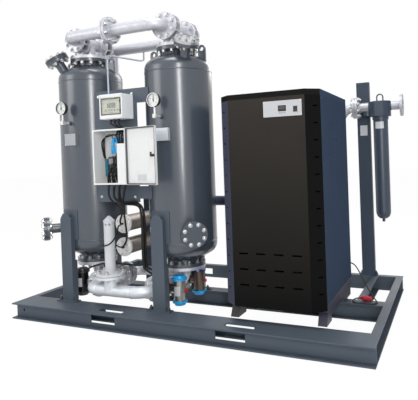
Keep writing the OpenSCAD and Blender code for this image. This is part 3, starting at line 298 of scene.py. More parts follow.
def bolt_tree():
    """Geometry Nodes tree: a washer, hexagon and tip on every point, and the same below a through grip."""
    tree = bpy.data.node_groups.new("bolt_set", "GeometryNodeTree")
    face = tree.interface
    face.new_socket("Geometry", in_out="INPUT", socket_type="NodeSocketGeometry")
    for label in ("Washer Radius", "Washer Height", "Hex Radius", "Hex Height", "Tip Radius", "Tip Height",
                  "Grip"):
        face.new_socket(label, in_out="INPUT", socket_type="NodeSocketFloat")
    face.new_socket("Domed", in_out="INPUT", socket_type="NodeSocketBool")
    face.new_socket("Material", in_out="INPUT", socket_type="NodeSocketMaterial")
    face.new_socket("Geometry", in_out="OUTPUT", socket_type="NodeSocketGeometry")
    make, link = tree.nodes.new, tree.links.new
    given, result = make("NodeGroupInput"), make("NodeGroupOutput")

    def total(*parts):
        """Sum of (socket, factor) pairs."""
        last = None
        for socket, factor in parts:
            step = make("ShaderNodeMath")
            step.operation = "MULTIPLY_ADD"
            link(socket, step.inputs[0])
            step.inputs[1].default_value = factor
            step.inputs[2].default_value = 0
            if last:
                link(last, step.inputs[2])
            last = step.outputs[0]
        return last

    def drum(sides, radius, height, middle):
        """A prism of these sides, its middle on the Z axis."""
        body, shift = make("GeometryNodeMeshCylinder"), make("GeometryNodeTransform")
        spot = make("ShaderNodeCombineXYZ")
        body.inputs["Vertices"].default_value = sides
        link(radius, body.inputs["Radius"])
        link(height, body.inputs["Depth"])
        link(middle, spot.inputs["Z"])
        link(body.outputs["Mesh"], shift.inputs["Geometry"])
        link(spot.outputs[0], shift.inputs["Translation"])
        return shift.outputs[0]

    size = given.outputs
    washer, hexagon, tip = size["Washer Height"], size["Hex Height"], size["Tip Height"]
    dome, dome_shift = make("GeometryNodeMeshUVSphere"), make("GeometryNodeTransform")
    dome_spot, dome_size = make("ShaderNodeCombineXYZ"), make("ShaderNodeCombineXYZ")
    pick = make("GeometryNodeSwitch")
    dome.inputs["Segments"].default_value = 14
    dome.inputs["Rings"].default_value = 8
    dome.inputs["Radius"].default_value = 1
    for label in ("X", "Y"):
        link(size["Tip Radius"], dome_size.inputs[label])
    link(tip, dome_size.inputs["Z"])
    link(total((washer, 1), (hexagon, 1)), dome_spot.inputs["Z"])
    link(dome.outputs["Mesh"], dome_shift.inputs["Geometry"])
    link(dome_spot.outputs[0], dome_shift.inputs["Translation"])
    link(dome_size.outputs[0], dome_shift.inputs["Scale"])
    pick.input_type = "GEOMETRY"
    link(size["Domed"], pick.inputs["Switch"])
    tip_middle = total((washer, 1), (hexagon, 1), (tip, 0.5))
    link(drum(10, size["Tip Radius"], tip, tip_middle), pick.inputs["False"])
    link(dome_shift.outputs[0], pick.inputs["True"])
    upper, lower = make("GeometryNodeJoinGeometry"), make("GeometryNodeTransform")
    shank = make("GeometryNodeJoinGeometry")
    for part in (drum(18, size["Washer Radius"], washer, total((washer, 0.5))),
                 drum(6, size["Hex Radius"], hexagon, total((washer, 1), (hexagon, 0.5))), pick.outputs[0]):
        link(part, upper.inputs[0])
    drop = make("ShaderNodeCombineXYZ")
    link(total((size["Grip"], -1)), drop.inputs["Z"])
    link(upper.outputs[0], lower.inputs["Geometry"])
    link(drop.outputs[0], lower.inputs["Translation"])
    lower.inputs["Rotation"].default_value = (math.pi, 0, 0)
    through, bare = make("FunctionNodeCompare"), make("GeometryNodeSwitch")
    whole = make("GeometryNodeJoinGeometry")
    link(size["Grip"], through.inputs["A"])
    through.inputs["B"].default_value = 0.001
    bare.input_type = "GEOMETRY"
    link(drum(10, size["Tip Radius"], size["Grip"], total((size["Grip"], -0.5))), shank.inputs[0])
    link(lower.outputs[0], shank.inputs[0])
    link(through.outputs[0], bare.inputs["Switch"])
    link(shank.outputs[0], bare.inputs["True"])
    link(upper.outputs[0], whole.inputs[0])
    link(bare.outputs[0], whole.inputs[0])
    axis, turn = make("GeometryNodeInputNamedAttribute"), make("FunctionNodeAlignRotationToVector")
    set_out = make("GeometryNodeInstanceOnPoints")
    axis.data_type = "FLOAT_VECTOR"
    axis.inputs["Name"].default_value = "axis"
    turn.axis = "Z"
    real, paint = make("GeometryNodeRealizeInstances"), make("GeometryNodeSetMaterial")
    link(axis.outputs[0], turn.inputs["Vector"])
    link(size["Geometry"], set_out.inputs["Points"])
    link(whole.outputs[0], set_out.inputs["Instance"])
    link(turn.outputs[0], set_out.inputs["Rotation"])
    link(set_out.outputs[0], real.inputs[0])
    link(real.outputs[0], paint.inputs["Geometry"])
    link(size["Material"], paint.inputs["Material"])
    link(paint.outputs[0], result.inputs[0])
    return tree


BOLTS = bolt_tree()


def grown(name, points, tree, body, slot, vectors=None, **inputs):
    """A piece that a Geometry Nodes tree grows on points, made a plain mesh on a body."""
    mesh = bpy.data.meshes.new(name)
    mesh.from_pydata([tuple(p) for p in points], [], [])
    if vectors:
        mark = mesh.attributes.new("axis", "FLOAT_VECTOR", "POINT")
        for entry, vector in zip(mark.data, vectors):
            entry.vector = vector
    seed = bpy.data.objects.new(name + "_seed", mesh)
    bpy.context.scene.collection.objects.link(seed)
    growth = seed.modifiers.new("growth", "NODES")
    growth.node_group = tree
    for item in tree.interface.items_tree:
        label = item.name.replace(" ", "_").lower()
        if item.item_type == "SOCKET" and item.in_out == "INPUT" and label in inputs:
            growth[item.identifier] = inputs[label]
    graph = bpy.context.evaluated_depsgraph_get()
    result = bpy.data.meshes.new_from_object(seed.evaluated_get(graph), preserve_all_data_layers=False,
                                             depsgraph=graph)
    bpy.data.objects.remove(seed)
    piece = bpy.data.objects.new(name, result)
    bpy.context.scene.collection.objects.link(piece)
    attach(piece, body)
    return piece


def bolts(name, spots, material, slot, **sizes):
    """One mesh of bolts: spots are (place, axis) pairs, and a size that isn't given is nothing."""
    whole = dict(washer_radius=0.0, washer_height=0.0, hex_radius=0.0, hex_height=0.0, tip_radius=0.0,
                 tip_height=0.0, grip=0.0, domed=False)
    whole.update(sizes)
    places, axes = zip(*spots)
    return grown(name, places, BOLTS, "frame", slot, axes, material=material, **whole)


def circle_spots(place, height, radius, count, start=0.5):
    """Spots on a bolt circle about place's Z axis, turned by start steps."""
    axis = (place.to_3x3() @ Vector((0, 0, 1))).normalized()
    turns = [2 * math.pi * (k + start) / count for k in range(count)]
    return [(place @ Vector((radius * math.cos(t), radius * math.sin(t), height)), axis) for t in turns]


def ring_spots(places, height, radius, count):
    """The spots of one bolt circle at each of several places."""
    return [spot for place in places for spot in circle_spots(place, height, radius, count)]


def facing(spot, axis):
    """Matrix at a spot whose Z axis points along axis."""
    return Matrix.Translation(spot) @ Vector(axis).to_track_quat("Z", "Y").to_matrix().to_4x4()


TOWERS = (-0.945, -0.095)
TOWER_Y = -0.330
UP = Vector((0, 0, 1))
FOOT_SHIFT, FOOT_X, FOOT_Y, FOOT_TOP = 0.045, 0.074, 0.289, 0.128
POST_FOOT_Y, POST_FOOT_TOP = 0.7725, 0.130
WASHER = 0.004
foot_spots = [(Vector((x - FOOT_SHIFT + dx, TOWER_Y + dy, FOOT_TOP)), UP)
              for x in TOWERS for dx in (-FOOT_X, FOOT_X) for dy in (-FOOT_Y, FOOT_Y)]
foot_spots += [(Vector((x, POST_FOOT_Y, POST_FOOT_TOP)), UP) for x in (1.055, 1.175)]
bolts("foot_washers", foot_spots, dark_steel, "black_iron", washer_radius=0.019, washer_height=WASHER)
bolts("foot_nuts", [(p + WASHER * UP, a) for p, a in foot_spots], foot_steel, "black_iron",
      washer_radius=0.0155, washer_height=0.002, hex_radius=0.0145, hex_height=0.012, tip_radius=0.008,
      tip_height=0.012)

# Towers: two welded pressure vessels with dished heads, painted like the skid.
# Bolted blind covers close the slanted fill nozzles and the level discharge nozzles.
TOWER_COAT = ((0.066, 0.080, 0.100), (0.052, 0.064, 0.082), 4, 0.9, 0.20, 0.10, 0.05)
tower_paint = coated("tower_paint", *TOWER_COAT, shine=0.8)
dress(tower_paint, "left_vessel", "right_vessel")
cover_paint = coated("cover_paint", *TOWER_COAT)
zoned(cover_paint, (-0.1, -1, 1.9), (0.6, 0, 2.4), (0.50, 0.51, 0.53), 0.6)
dress(cover_paint, "port_covers")
FILL_TURN, FILL_OUT, FILL_Z, FILL_TILT = 47, 0.258, 2.04827, 30
DISCHARGE_TURN, DISCHARGE_OUT, DISCHARGE_Z = 42, 0.382, 0.680
PORT_FACE, PORT_BOLTS, PORT_EDGE, PORT_GRIP = 0.022, 0.0725, 0.0927, 0.044
GASKET = 0.003


def nozzle_at(x, turn, out, z, tilt):
    """Matrix of a nozzle's joint: turned about a tower, out from its axis and tilted, angles in degrees."""
    return (Matrix.Translation((x, TOWER_Y, 0)) @ Matrix.Rotation(math.radians(turn), 4, "Z")
            @ Matrix.Translation((0, -out, z)) @ Matrix.Rotation(math.radians(tilt), 4, "X"))


fill_at = [nozzle_at(x, side * FILL_TURN, FILL_OUT, FILL_Z, FILL_TILT) for x, side in zip(TOWERS, (-1, 1))]
discharge_at = [nozzle_at(x, side * DISCHARGE_TURN, DISCHARGE_OUT, DISCHARGE_Z, 90)
                for x, side in zip(TOWERS, (-1, 1))]
STUD = dict(washer_radius=0.0165, washer_height=0.003, hex_radius=0.0145, hex_height=0.012,
            tip_radius=0.008, tip_height=0.005)
bolts("fill_studs", ring_spots(fill_at, PORT_FACE, PORT_BOLTS, 8), bright_steel, "zinc_steel",
      grip=PORT_GRIP, **STUD)
bolts("discharge_bolts", ring_spots(discharge_at, PORT_FACE, PORT_BOLTS, 8), bright_steel, "zinc_steel",
      washer_radius=0.0145, washer_height=0.003, hex_radius=0.0125, hex_height=0.008, tip_radius=0.0105,
      tip_height=0.008, domed=True, grip=PORT_GRIP)
gasket_black = coated("gasket_sheet", (0.03, 0.03, 0.032), (0.055, 0.055, 0.055), 50, 0.6, 0.6, 0.2, 0.1)


def gasket_edges(name, places, radius):
    """The edges of gaskets that show round flanged joints."""
    bm = bmesh.new()
    for place in places:
        lathe_into(bm, [(radius - 0.003, -GASKET / 2), (radius, -GASKET / 2), (radius + 0.0006, 0),
                        (radius, GASKET / 2), (radius - 0.003, GASKET / 2)], place, 48)
    return settle(name, bm, gasket_black, "frame")


gasket_edges("port_gaskets", fill_at + discharge_at, PORT_EDGE)

# Nameplates: bare sheets of aluminium on folded brackets in front of the towers.
# A round-headed rivet in each corner holds the sheet.
bare_plate = coated("bare_plate", (0.36, 0.37, 0.39), (0.28, 0.29, 0.31),
                    30, 0.6, 0.42, 0.1, 0.02, 0.5, (1, 1, 12))
# Painted light: the plate by the right tower is painted much lighter than the left one, to offset the shadow
# of the enclosure door.
zoned(bare_plate, (-0.3, -1, 1.2), (0.3, 0, 1.6), (0.74, 0.77, 0.82))
dress(bare_plate, "nameplates")
PLATE_SHIFT, PLATE_OUT, PLATE_Z = 0.010, 0.272, 1.388
RIVET_X, RIVET_Z = 0.046, 0.038
FRONT = Vector((0, -1, 0))
rivets = [(Vector((x + PLATE_SHIFT + dx, TOWER_Y - PLATE_OUT, PLATE_Z + dz)), FRONT)
          for x in TOWERS for dx in (-RIVET_X, RIVET_X) for dz in (-RIVET_Z, RIVET_Z)]
bolts("plate_rivets", rivets, bright_steel, "zinc_steel", tip_radius=0.004, tip_height=0.002, domed=True)

# Top piping: galvanised tees, bends and the outlet lines, flanged together.
# Long studs clamp a black wafer check valve between each pair of flanges.
ZINC_COAT = ((0.66, 0.67, 0.70), (0.46, 0.46, 0.51), 22, 0.9, 0.38, 0.24, 0.06, 0.6)
zinc = coated("hot_dip_zinc", *ZINC_COAT)
dress(zinc, "top_tees", "left_outlet_spool", "right_outlet_spool", "rear_header")
sensor_steel = coated("sensor_steel", (0.36, 0.41, 0.48), (0.28, 0.32, 0.38), 30, 0.7, 0.36, 0.15, 0.04, 0.4)
dress(sensor_steel, "sensor_tube")
black_iron = coated("coated_iron", (0.020, 0.020, 0.022), (0.05, 0.05, 0.052), 40, 0.7, 0.5, 0.2, 0.2)
dress(black_iron, "check_valves", "valve_bodies")
TOP_Z = 2.190
MIDDLE_X = -0.520
HEADER_OUT = 0.260
FLANGE_BOLTS, NECK_BOLTS, NECK_GRIP, OUTLET_GRIP = 0.080, 0.136, 0.048, 0.040
NECK_EDGE, OUTLET_EDGE = 0.1572, 0.1002
ALONG = Vector((1, 0, 0))
neck_tops = [Matrix.Translation((x, TOWER_Y, 2.07427)) for x in TOWERS]
bolts("neck_studs", ring_spots(neck_tops, 0, NECK_BOLTS, 12), bright_steel, "zinc_steel", grip=NECK_GRIP,
      **STUD)
check_ends = [facing((x, TOWER_Y + way * 0.180, TOP_Z), (0, way, 0)) for x in TOWERS for way in (-1, 1)]
bolts("check_studs", ring_spots(check_ends, 0, FLANGE_BOLTS, 8), bright_steel, "zinc_steel", grip=0.090,
      **STUD)
outlet_face = facing((MIDDLE_X + OUTLET_GRIP / 2, TOWER_Y - HEADER_OUT, TOP_Z), ALONG)
bolts("outlet_studs", circle_spots(outlet_face, 0, FLANGE_BOLTS, 8), bright_steel, "zinc_steel",
      grip=OUTLET_GRIP, **STUD)
neck_joints = [Matrix.Translation((x, TOWER_Y, z)) for x in TOWERS for z in (2.05027, 0.39973)]
gasket_edges("neck_gaskets", neck_joints, NECK_EDGE)
gasket_edges("outlet_gasket", [facing((MIDDLE_X, TOWER_Y - HEADER_OUT, TOP_Z), ALONG)], OUTLET_EDGE)


def weld_beads(name, places, radius):
    """Round weld beads where pipes meet bends and flanges."""
    bm = bmesh.new()
    for place in places:
        arc = [2 * math.pi * k / 10 for k in range(10)]
        rings = []
        for k in range(40):
            turn = Matrix.Rotation(2 * math.pi * k / 40, 4, "Z")
            lump = 0.0026 * (1 + 0.12 * math.sin(k * 5.0))
            ring = [Vector((radius + lump * math.cos(t), 0, lump * math.sin(t))) for t in arc]
            rings.append([bm.verts.new(place @ turn @ point) for point in ring])
        for low, high in zip(rings, rings[1:] + rings[:1]):
            for k in range(10):
                m = (k + 1) % 10
                bm.faces.new((low[k], low[m], high[m], high[k])).smooth = True
    return settle(name, bm, zinc, "frame")


PIPE_RADIUS, RISER_RADIUS = 0.04445, 0.04245
seams = []
for x, inward in zip(TOWERS, (1, -1)):
    seams.append(facing((x + inward * 0.080, TOWER_Y - HEADER_OUT, TOP_Z), ALONG))
    seams += [facing((x, TOWER_Y + way * 0.090, TOP_Z), (0, 1, 0)) for way in (-1, 1)]
seams += [facing((MIDDLE_X + way * 0.021, TOWER_Y - HEADER_OUT, TOP_Z), ALONG) for way in (-1, 1)]
seams.append(facing((TOWERS[1] - 0.125, TOWER_Y + 0.305, TOP_Z), ALONG))
weld_beads("top_welds", seams, PIPE_RADIUS)
riser_seams = [Matrix.Translation((x, TOWER_Y, z)) for x in TOWERS for z in (2.0755, 0.374)]
weld_beads("riser_welds", riser_seams, RISER_RADIUS)

# Bottom piping: tees under the towers, four butterfly valves and the two headers.
# Each valve body sits between flanges inside its ring of studs.
dress(zinc, "bottom_tees")
line_zinc = coated("inlet_line", *ZINC_COAT)
zoned(line_zinc, (-0.20, -1, 0.5), (0.60, 1, 2), (0.060, 0.066, 0.130), 0.0)
dress(line_zinc, "inlet_header")
pale_zinc = coated("pale_zinc", (0.78, 0.81, 0.84), (0.56, 0.58, 0.62), 26, 0.9, 0.36, 0.2, 0.06, 0.3)
dress(pale_zinc, "exhaust_header")
LOW_Z = 0.240
LOW_HEADER_Y = TOWER_Y - 0.300
VALVES = (-0.790, -0.250)
neck_lows = [facing((x, TOWER_Y, 0.37573), (0, 0, -1)) for x in TOWERS]
bolts("low_neck_studs", ring_spots(neck_lows, 0, NECK_BOLTS, 12), bright_steel, "zinc_steel",
      grip=NECK_GRIP, **STUD)
valve_ends = [facing((x, TOWER_Y + way * 0.186, LOW_Z), (0, way, 0)) for x in VALVES for way in (-1, 1)]
bolts("valve_studs", ring_spots(valve_ends, 0, FLANGE_BOLTS, 8), bright_steel, "zinc_steel", grip=0.086,
      **STUD)
low_seams = [facing((MIDDLE_X + way * (0.270 - 0.114), LOW_HEADER_Y, LOW_Z), ALONG) for way in (-1, 1)]
weld_beads("low_welds", low_seams, PIPE_RADIUS)

# Valve actuators: a steel barrel between two end caps on each valve shaft.
# The right pair has blue caps, the left pair is black from end to end.
# The red tips on the shafts show whether the plate is open.
stainless = coated("stainless_tube", (0.36, 0.32, 0.29), (0.27, 0.24, 0.215),
                   14, 0.8, 0.38, 0.14, 0.03, 0.9, (1, 1, 14))
barrel_steel = coated("actuator_barrel", (0.40, 0.375, 0.345), (0.30, 0.28, 0.255),
                      14, 0.8, 0.28, 0.14, 0.03, 0.9, (1, 1, 14))
zoned(barrel_steel, (-1.4, -1.0, 0), (-0.6, 0.2, 0.6), (0.030, 0.030, 0.032))
# Painted shade: the rear right barrel is painted dark brown where the tower's shadow falls on it.
zoned(barrel_steel, (-0.2, -0.3, 0), (0.2, 0.1, 0.6), (0.16, 0.125, 0.10))
dress(barrel_steel, "actuator_bodies")
cap_blue = coated("actuator_blue", (0.012, 0.420, 0.860), (0.010, 0.340, 0.740), 20, 0.7, 0.28, 0.14, 0.04)
zoned(cap_blue, (-1.4, -1.0, 0), (-0.6, 0.2, 0.6), (0.030, 0.030, 0.032))
# Painted shade: the top cap of the rear right actuator is painted navy where the tower's shadow falls on it.
zoned(cap_blue, (-0.2, -0.3, 0.24), (0.2, 0.1, 0.6), (0.012, 0.045, 0.300))
dress(cap_blue, "actuator_caps")
dress(red_mould, "left_exhaust_disc", "right_exhaust_disc", "left_inlet_disc", "right_inlet_disc")
ACTUATOR_X, ACTUATOR_Y, CAP_Z = 0.190, 0.143, 0.075
CAP_TOP, CAP_BOLTS = 0.0145, 0.0505
actuators = [(x, TOWER_Y + way * ACTUATOR_Y)
             for x in (VALVES[0] - ACTUATOR_X, VALVES[1] + ACTUATOR_X) for way in (-1, 1)]
cap_ends = [facing((x, y, LOW_Z + way * CAP_Z), (0, 0, way)) for x, y in actuators for way in (-1, 1)]
bolts("cap_screws", ring_spots(cap_ends, CAP_TOP, CAP_BOLTS, 4), bright_steel, "zinc_steel",
      hex_radius=0.0036, hex_height=0.004, tip_radius=0.002, tip_height=0.001)
label_white = coated("bare_label", (0.60, 0.61, 0.62), (0.54, 0.55, 0.56), 30, 0.5, 0.45, 0.1, 0.02)


def wrapped_label(bm, middle, radius, low, high, start, end):
    """Adds a thin label to bm, wrapped round an upright cylinder between two angles."""
    turns = [math.radians(start + (end - start) * k / 16) for k in range(17)]
    outer = radius + 0.0004
    rows = [[bm.verts.new(Vector(middle) + Vector((r * math.cos(t), r * math.sin(t), z))) for t in turns]
            for r, z in ((radius, low), (outer, low), (outer, high), (radius, high))]
    for below, over in zip(rows, rows[1:]):
        for k in range(16):
            bm.faces.new((below[k], below[k + 1], over[k + 1], over[k]))


BARREL_RADIUS, LABEL_HALF = 0.0451, 34
bm = bmesh.new()
for x, y in actuators:
    front = -90 if y < TOWER_Y else 90
    wrapped_label(bm, (x, y, LOW_Z), BARREL_RADIUS, -0.036, 0.034, front - LABEL_HALF, front + LABEL_HALF)
settle("barrel_labels", bm, label_white, "frame")

# Exhaust stack: a pale grey blow-off pipe under a pointed cap.
# Its bottom flange is bolted to the front header through a gasket.
white_coat = coated("white_coat", (0.80, 0.80, 0.79), (0.68, 0.68, 0.67), 8, 0.7, 0.34, 0.12, 0.04)
stack_coat = coated("stack_coat", (0.63, 0.64, 0.66), (0.53, 0.54, 0.56), 8, 0.7, 0.34, 0.12, 0.04)
dress(stack_coat, "exhaust_stack")
STACK_X, STACK_TOP, STACK_JOINT = -0.560, 0.380, 0.360
STACK_BOLTS, STACK_EDGE = 0.092, 0.1102
stack_face = Matrix.Translation((STACK_X, LOW_HEADER_Y, STACK_TOP))
bolts("stack_studs", circle_spots(stack_face, 0, STACK_BOLTS, 8), bright_steel, "zinc_steel", grip=0.040,
      **STUD)
gasket_edges("stack_gasket", [Matrix.Translation((STACK_X, LOW_HEADER_Y, STACK_JOINT))], STACK_EDGE)

# Heaters: two stainless tubes that lie between the towers.
# A pale cover, held by six screws, closes the front of each.
dress(stainless, "heater_shells")
pale_cover = coated("heater_cover", (0.78, 0.77, 0.75), (0.62, 0.61, 0.59), 20, 0.8, 0.36, 0.15, 0.04, 0.2)
dress(pale_cover, "heater_covers")
HEATER_FRONT, HEATER_BOLTS = -0.532, 0.046
heater_faces = [facing((MIDDLE_X, HEATER_FRONT, z), FRONT) for z in (0.546, 0.724)]
bolts("heater_screws", ring_spots(heater_faces, 0, HEATER_BOLTS, 6), bright_steel, "zinc_steel",
      washer_radius=0.007, washer_height=0.0015, hex_radius=0.0055, hex_height=0.004, tip_radius=0.002,
      tip_height=0.001)

# Control enclosure: a white sheet steel box on the panel, with its plate, terminals and blue solenoids.
# Black leads run from the terminals to the glands, and black air tubes from the solenoids.
# Three leads come down from the controller and three run on to the valves.
dress(white_coat, "enclosure_box", "enclosure_door", "back_plate")
MOULD_COAT = ((0.012, 0.012, 0.013), (0.03, 0.03, 0.031), 60, 0.6, 0.42, 0.15, 0.1)
black_mould = coated("black_moulding", *MOULD_COAT)
dress(black_mould, "terminal_gear", "cable_glands", "door_lock", "left_needle", "right_needle",
      "rocker_switch")
solenoid_blue = coated("solenoid_blue", (0.012, 0.420, 0.840), (0.010, 0.330, 0.700),
                       30, 0.7, 0.34, 0.15, 0.04)
zoned(solenoid_blue, (-0.590, -0.7, 1.0), (-0.555, -0.5, 1.3), (0.020, 0.150, 0.215))
dress(solenoid_blue, "solenoid_valves")
cable_black = coated("cable_black", (0.006, 0.006, 0.007), (0.012, 0.012, 0.013),
                     60, 0.6, 0.45, 0.12, 0.05, shine=0.25)
dress(cable_black, "cable_harness")
GEAR = BOX_X, GEAR_Y, BOX_Z = (-0.618, -0.578, 1.038)
BOX_HEIGHT = 0.404


def block_into(bm, low, high, bevel=0.0):
    """Adds a box with softened edges to bm."""
    low, high = Vector(low), Vector(high)
    spread = Matrix.Translation((low + high) / 2) @ Matrix.Diagonal((*(high - low), 1))
    made = bmesh.ops.create_cube(bm, size=1, matrix=spread)
    if bevel:
        edges = list({edge for vert in made["verts"] for edge in vert.link_edges})
        bmesh.ops.bevel(bm, geom=edges, offset=bevel, segments=2, affect="EDGES", profile=0.6)


def shifted(origin, point):
    """A point that is counted from an origin."""
    return [a + b for a, b in zip(origin, point)]


def blocks(name, boxes, bevel, material, origin=(0, 0, 0), body="frame", place=None):
    """A piece of boxes from low to high corners, counted from an origin and moved to a place if given."""
    bm = bmesh.new()
    for low, high in boxes:
        block_into(bm, shifted(origin, low), shifted(origin, high), bevel)
    if place:
        bmesh.ops.transform(bm, matrix=place, verts=bm.verts)
    return settle(name, bm, material, body)


def leads_into(bm, routes, steps, radius, sides, origin=(0, 0, 0)):
    """Adds a tube along each smooth route to bm, its points counted from an origin."""
    for route in routes:
        tube_into(bm, smooth_route([shifted(origin, p) for p in route], steps), radius, sides)


TERMINAL_STEP, RELAY_STEP, SOLENOID_STEP = 0.016, 0.052, 0.034
ROW_X = 0.084
bm = bmesh.new()
for k in range(10):
    x = BOX_X + ROW_X + k * TERMINAL_STEP
    for z in (0.066, 0.094):
        block_into(bm, (x + 0.0015, GEAR_Y - 0.0495, BOX_Z + z),
                   (x + 0.0105, GEAR_Y - 0.047, BOX_Z + z + 0.012), 0.0006)
for k in range(3):
    x = BOX_X + ROW_X + k * RELAY_STEP
    block_into(bm, (x + 0.004, GEAR_Y - 0.0645, BOX_Z + 0.150),
               (x + 0.041, GEAR_Y - 0.0615, BOX_Z + 0.190), 0.001)
    block_into(bm, (x + 0.014, GEAR_Y - 0.070, BOX_Z + 0.160),
               (x + 0.031, GEAR_Y - 0.064, BOX_Z + 0.178), 0.0015)
terminal_grey = coated("terminal_grey", (0.30, 0.31, 0.32), (0.22, 0.22, 0.23), 60, 0.6, 0.42, 0.15, 0.05)
settle("terminal_faces", bm, terminal_grey, "frame")
bm = bmesh.new()
for k in range(4):
    x = BOX_X + 0.096 + k * SOLENOID_STEP
    lathe_into(bm, [(0, 0), (0.0065, 0), (0.0065, 0.006), (0.0045, 0.008), (0, 0.008)],
               facing((x + 0.014, GEAR_Y - 0.044, BOX_Z + 0.275), FRONT), 16)
    block_into(bm, (x + 0.005, GEAR_Y - 0.0465, BOX_Z + 0.288),
               (x + 0.023, GEAR_Y - 0.0435, BOX_Z + 0.304), 0.001)
settle("solenoid_faces", bm, bare_plate, "frame")

TERMINAL_LEADS = ((0.090, 0.060), (0.110, 0.060), (0.128, 0.110), (0.146, 0.110), (0.164, 0.160),
                  (0.184, 0.160), (0.206, 0.210), (0.226, 0.210))
terminal_routes = [[(start, -0.046, 0.064), (start, -0.058, 0.046), ((start + gland) / 2, -0.054, 0.028),
                    (gland, -0.042, 0.010)] for start, gland in TERMINAL_LEADS]
solenoid_routes = []
for k in range(4):
    x, y = 0.110 + k * SOLENOID_STEP, -0.052
    solenoid_routes.append([(x, -0.036, 0.346), (x, y, 0.362), (x - 0.02, y - 0.01, 0.368),
                            (0.052 - 0.006 * k, y - 0.006, 0.335), (0.046 - 0.006 * k, y, 0.230),
                            (0.046 - 0.003 * k, -0.043, 0.192)])
relay_routes = []
for x in (0.1065 + k * RELAY_STEP for k in range(3)):
    relay_routes += [[(x + shift, -0.056, 0.141), (x + shift, -0.066, 0.130),
                      (x + shift * 0.8, -0.060, 0.118), (x + shift * 0.8, -0.046, 0.108)]
                     for shift in (-0.014, 0.0, 0.014)]
bundle_routes = []
for k in range(7):
    spread, y = (k - 3) / 3, -0.084 - 0.009 * (k % 2)
    bundle_routes.append([(0.215 + 0.030 * spread, -0.060, 0.400), (0.218 + 0.034 * spread, y, 0.360),
                          (0.222 + 0.016 * spread, y - 0.006, 0.270),
                          (0.190 + 0.030 * spread, y - 0.008, 0.170),
                          (0.150 + 0.050 * spread, y, 0.080), (0.132 + 0.066 * spread, -0.052, 0.012)])
bm = bmesh.new()
leads_into(bm, terminal_routes, 4, 0.0028, 8, GEAR)
leads_into(bm, solenoid_routes, 5, 0.003, 8, GEAR)
leads_into(bm, relay_routes, 4, 0.0022, 8, GEAR)
leads_into(bm, bundle_routes, 6, 0.0055, 10, GEAR)
settle("enclosure_leads", bm, cable_black, "frame")

CASE = CASE_X, CASE_Y, CASE_Z = (-0.556, -0.690, 1.518)
GLAND_Y = -0.638
GLAND = [(0.0055, 0.012), (0.008, 0.010), (0.0105, 0.005), (0.0125, 0.005), (0.0125, 0), (0.0055, 0)]
bm = bmesh.new()
for x, end in ((0.050, 0.195), (0.085, 0.210), (0.120, 0.225)):
    start, end = CASE_X + x, BOX_X + end
    leads_into(bm, [[(start, -0.630, 1.506), (start, -0.630, 1.488), ((start + end) / 2, -0.634, 1.466),
                     (end, GLAND_Y, 1.452), (end, GLAND_Y, 1.440)]], 6, 0.0055, 12)
    lathe_into(bm, GLAND, Matrix.Translation((end, GLAND_Y, BOX_Z + BOX_HEIGHT)), 20)
settle("controller_leads", bm, cable_black, "frame")

RIGHT_VALVE_ROUTES = [
    [(-0.408, -0.620, 1.014), (-0.418, -0.625, 0.954), (-0.433, -0.605, 0.902), (-0.342, -0.572, 0.898),
     (-0.310, -0.575, 0.824), (-0.305, -0.573, 0.700), (-0.305, -0.573, 0.440), (-0.278, -0.566, 0.392),
     (-0.198, -0.560, 0.346), (-0.153, -0.558, 0.318), (-0.110, -0.532, 0.292), (-0.088, -0.501, 0.280)],
    [(-0.454, -0.628, 1.014), (-0.458, -0.632, 0.944), (-0.446, -0.612, 0.890), (-0.336, -0.578, 0.872),
     (-0.296, -0.582, 0.806), (-0.290, -0.580, 0.700), (-0.290, -0.580, 0.440), (-0.262, -0.573, 0.394),
     (-0.186, -0.574, 0.350), (-0.133, -0.566, 0.304), (-0.100, -0.530, 0.268), (-0.090, -0.499, 0.258)],
]
LEFT_VALVE_ROUTE = [
    (-0.298, -0.577, 0.560), (-0.300, -0.574, 0.480), (-0.322, -0.560, 0.432), (-0.390, -0.540, 0.418),
    (-0.500, -0.528, 0.417), (-0.620, -0.528, 0.417), (-0.720, -0.535, 0.410), (-0.800, -0.545, 0.388),
    (-0.860, -0.540, 0.365), (-0.925, -0.512, 0.354), (-0.948, -0.496, 0.345), (-0.956, -0.488, 0.3285),
]
bm = bmesh.new()
leads_into(bm, RIGHT_VALVE_ROUTES, 6, 0.0070, 12)
leads_into(bm, [LEFT_VALVE_ROUTE], 6, 0.0065, 12)
settle("valve_leads", bm, cable_black, "frame")
duct_boxes = [((0.066, -0.024, z), (0.270, 0, z + 0.014)) for z in (0.030, 0.210)]
duct_boxes.append(((0.066, -0.026, 0.318), (0.084, 0, 0.040)))
blocks("wire_ducts", duct_boxes, 0.0015, label_white, GEAR)
blocks("inner_cover", [((BOX_X + 0.212, -0.6998, BOX_Z + 0.006), (BOX_X + 0.294, -0.6982, BOX_Z + 0.296))],
       0.0006, white_coat)
PANEL_FRONT = -0.560
panel_spots = [(Vector((x, PANEL_FRONT, z)), FRONT) for x in (-0.675, -0.362) for z in (0.936, 1.706)]
bolts("panel_bolts", panel_spots, bright_steel, "zinc_steel", washer_radius=0.011, washer_height=0.002,
      hex_radius=0.0085, hex_height=0.006, tip_radius=0.004, tip_height=0.002)

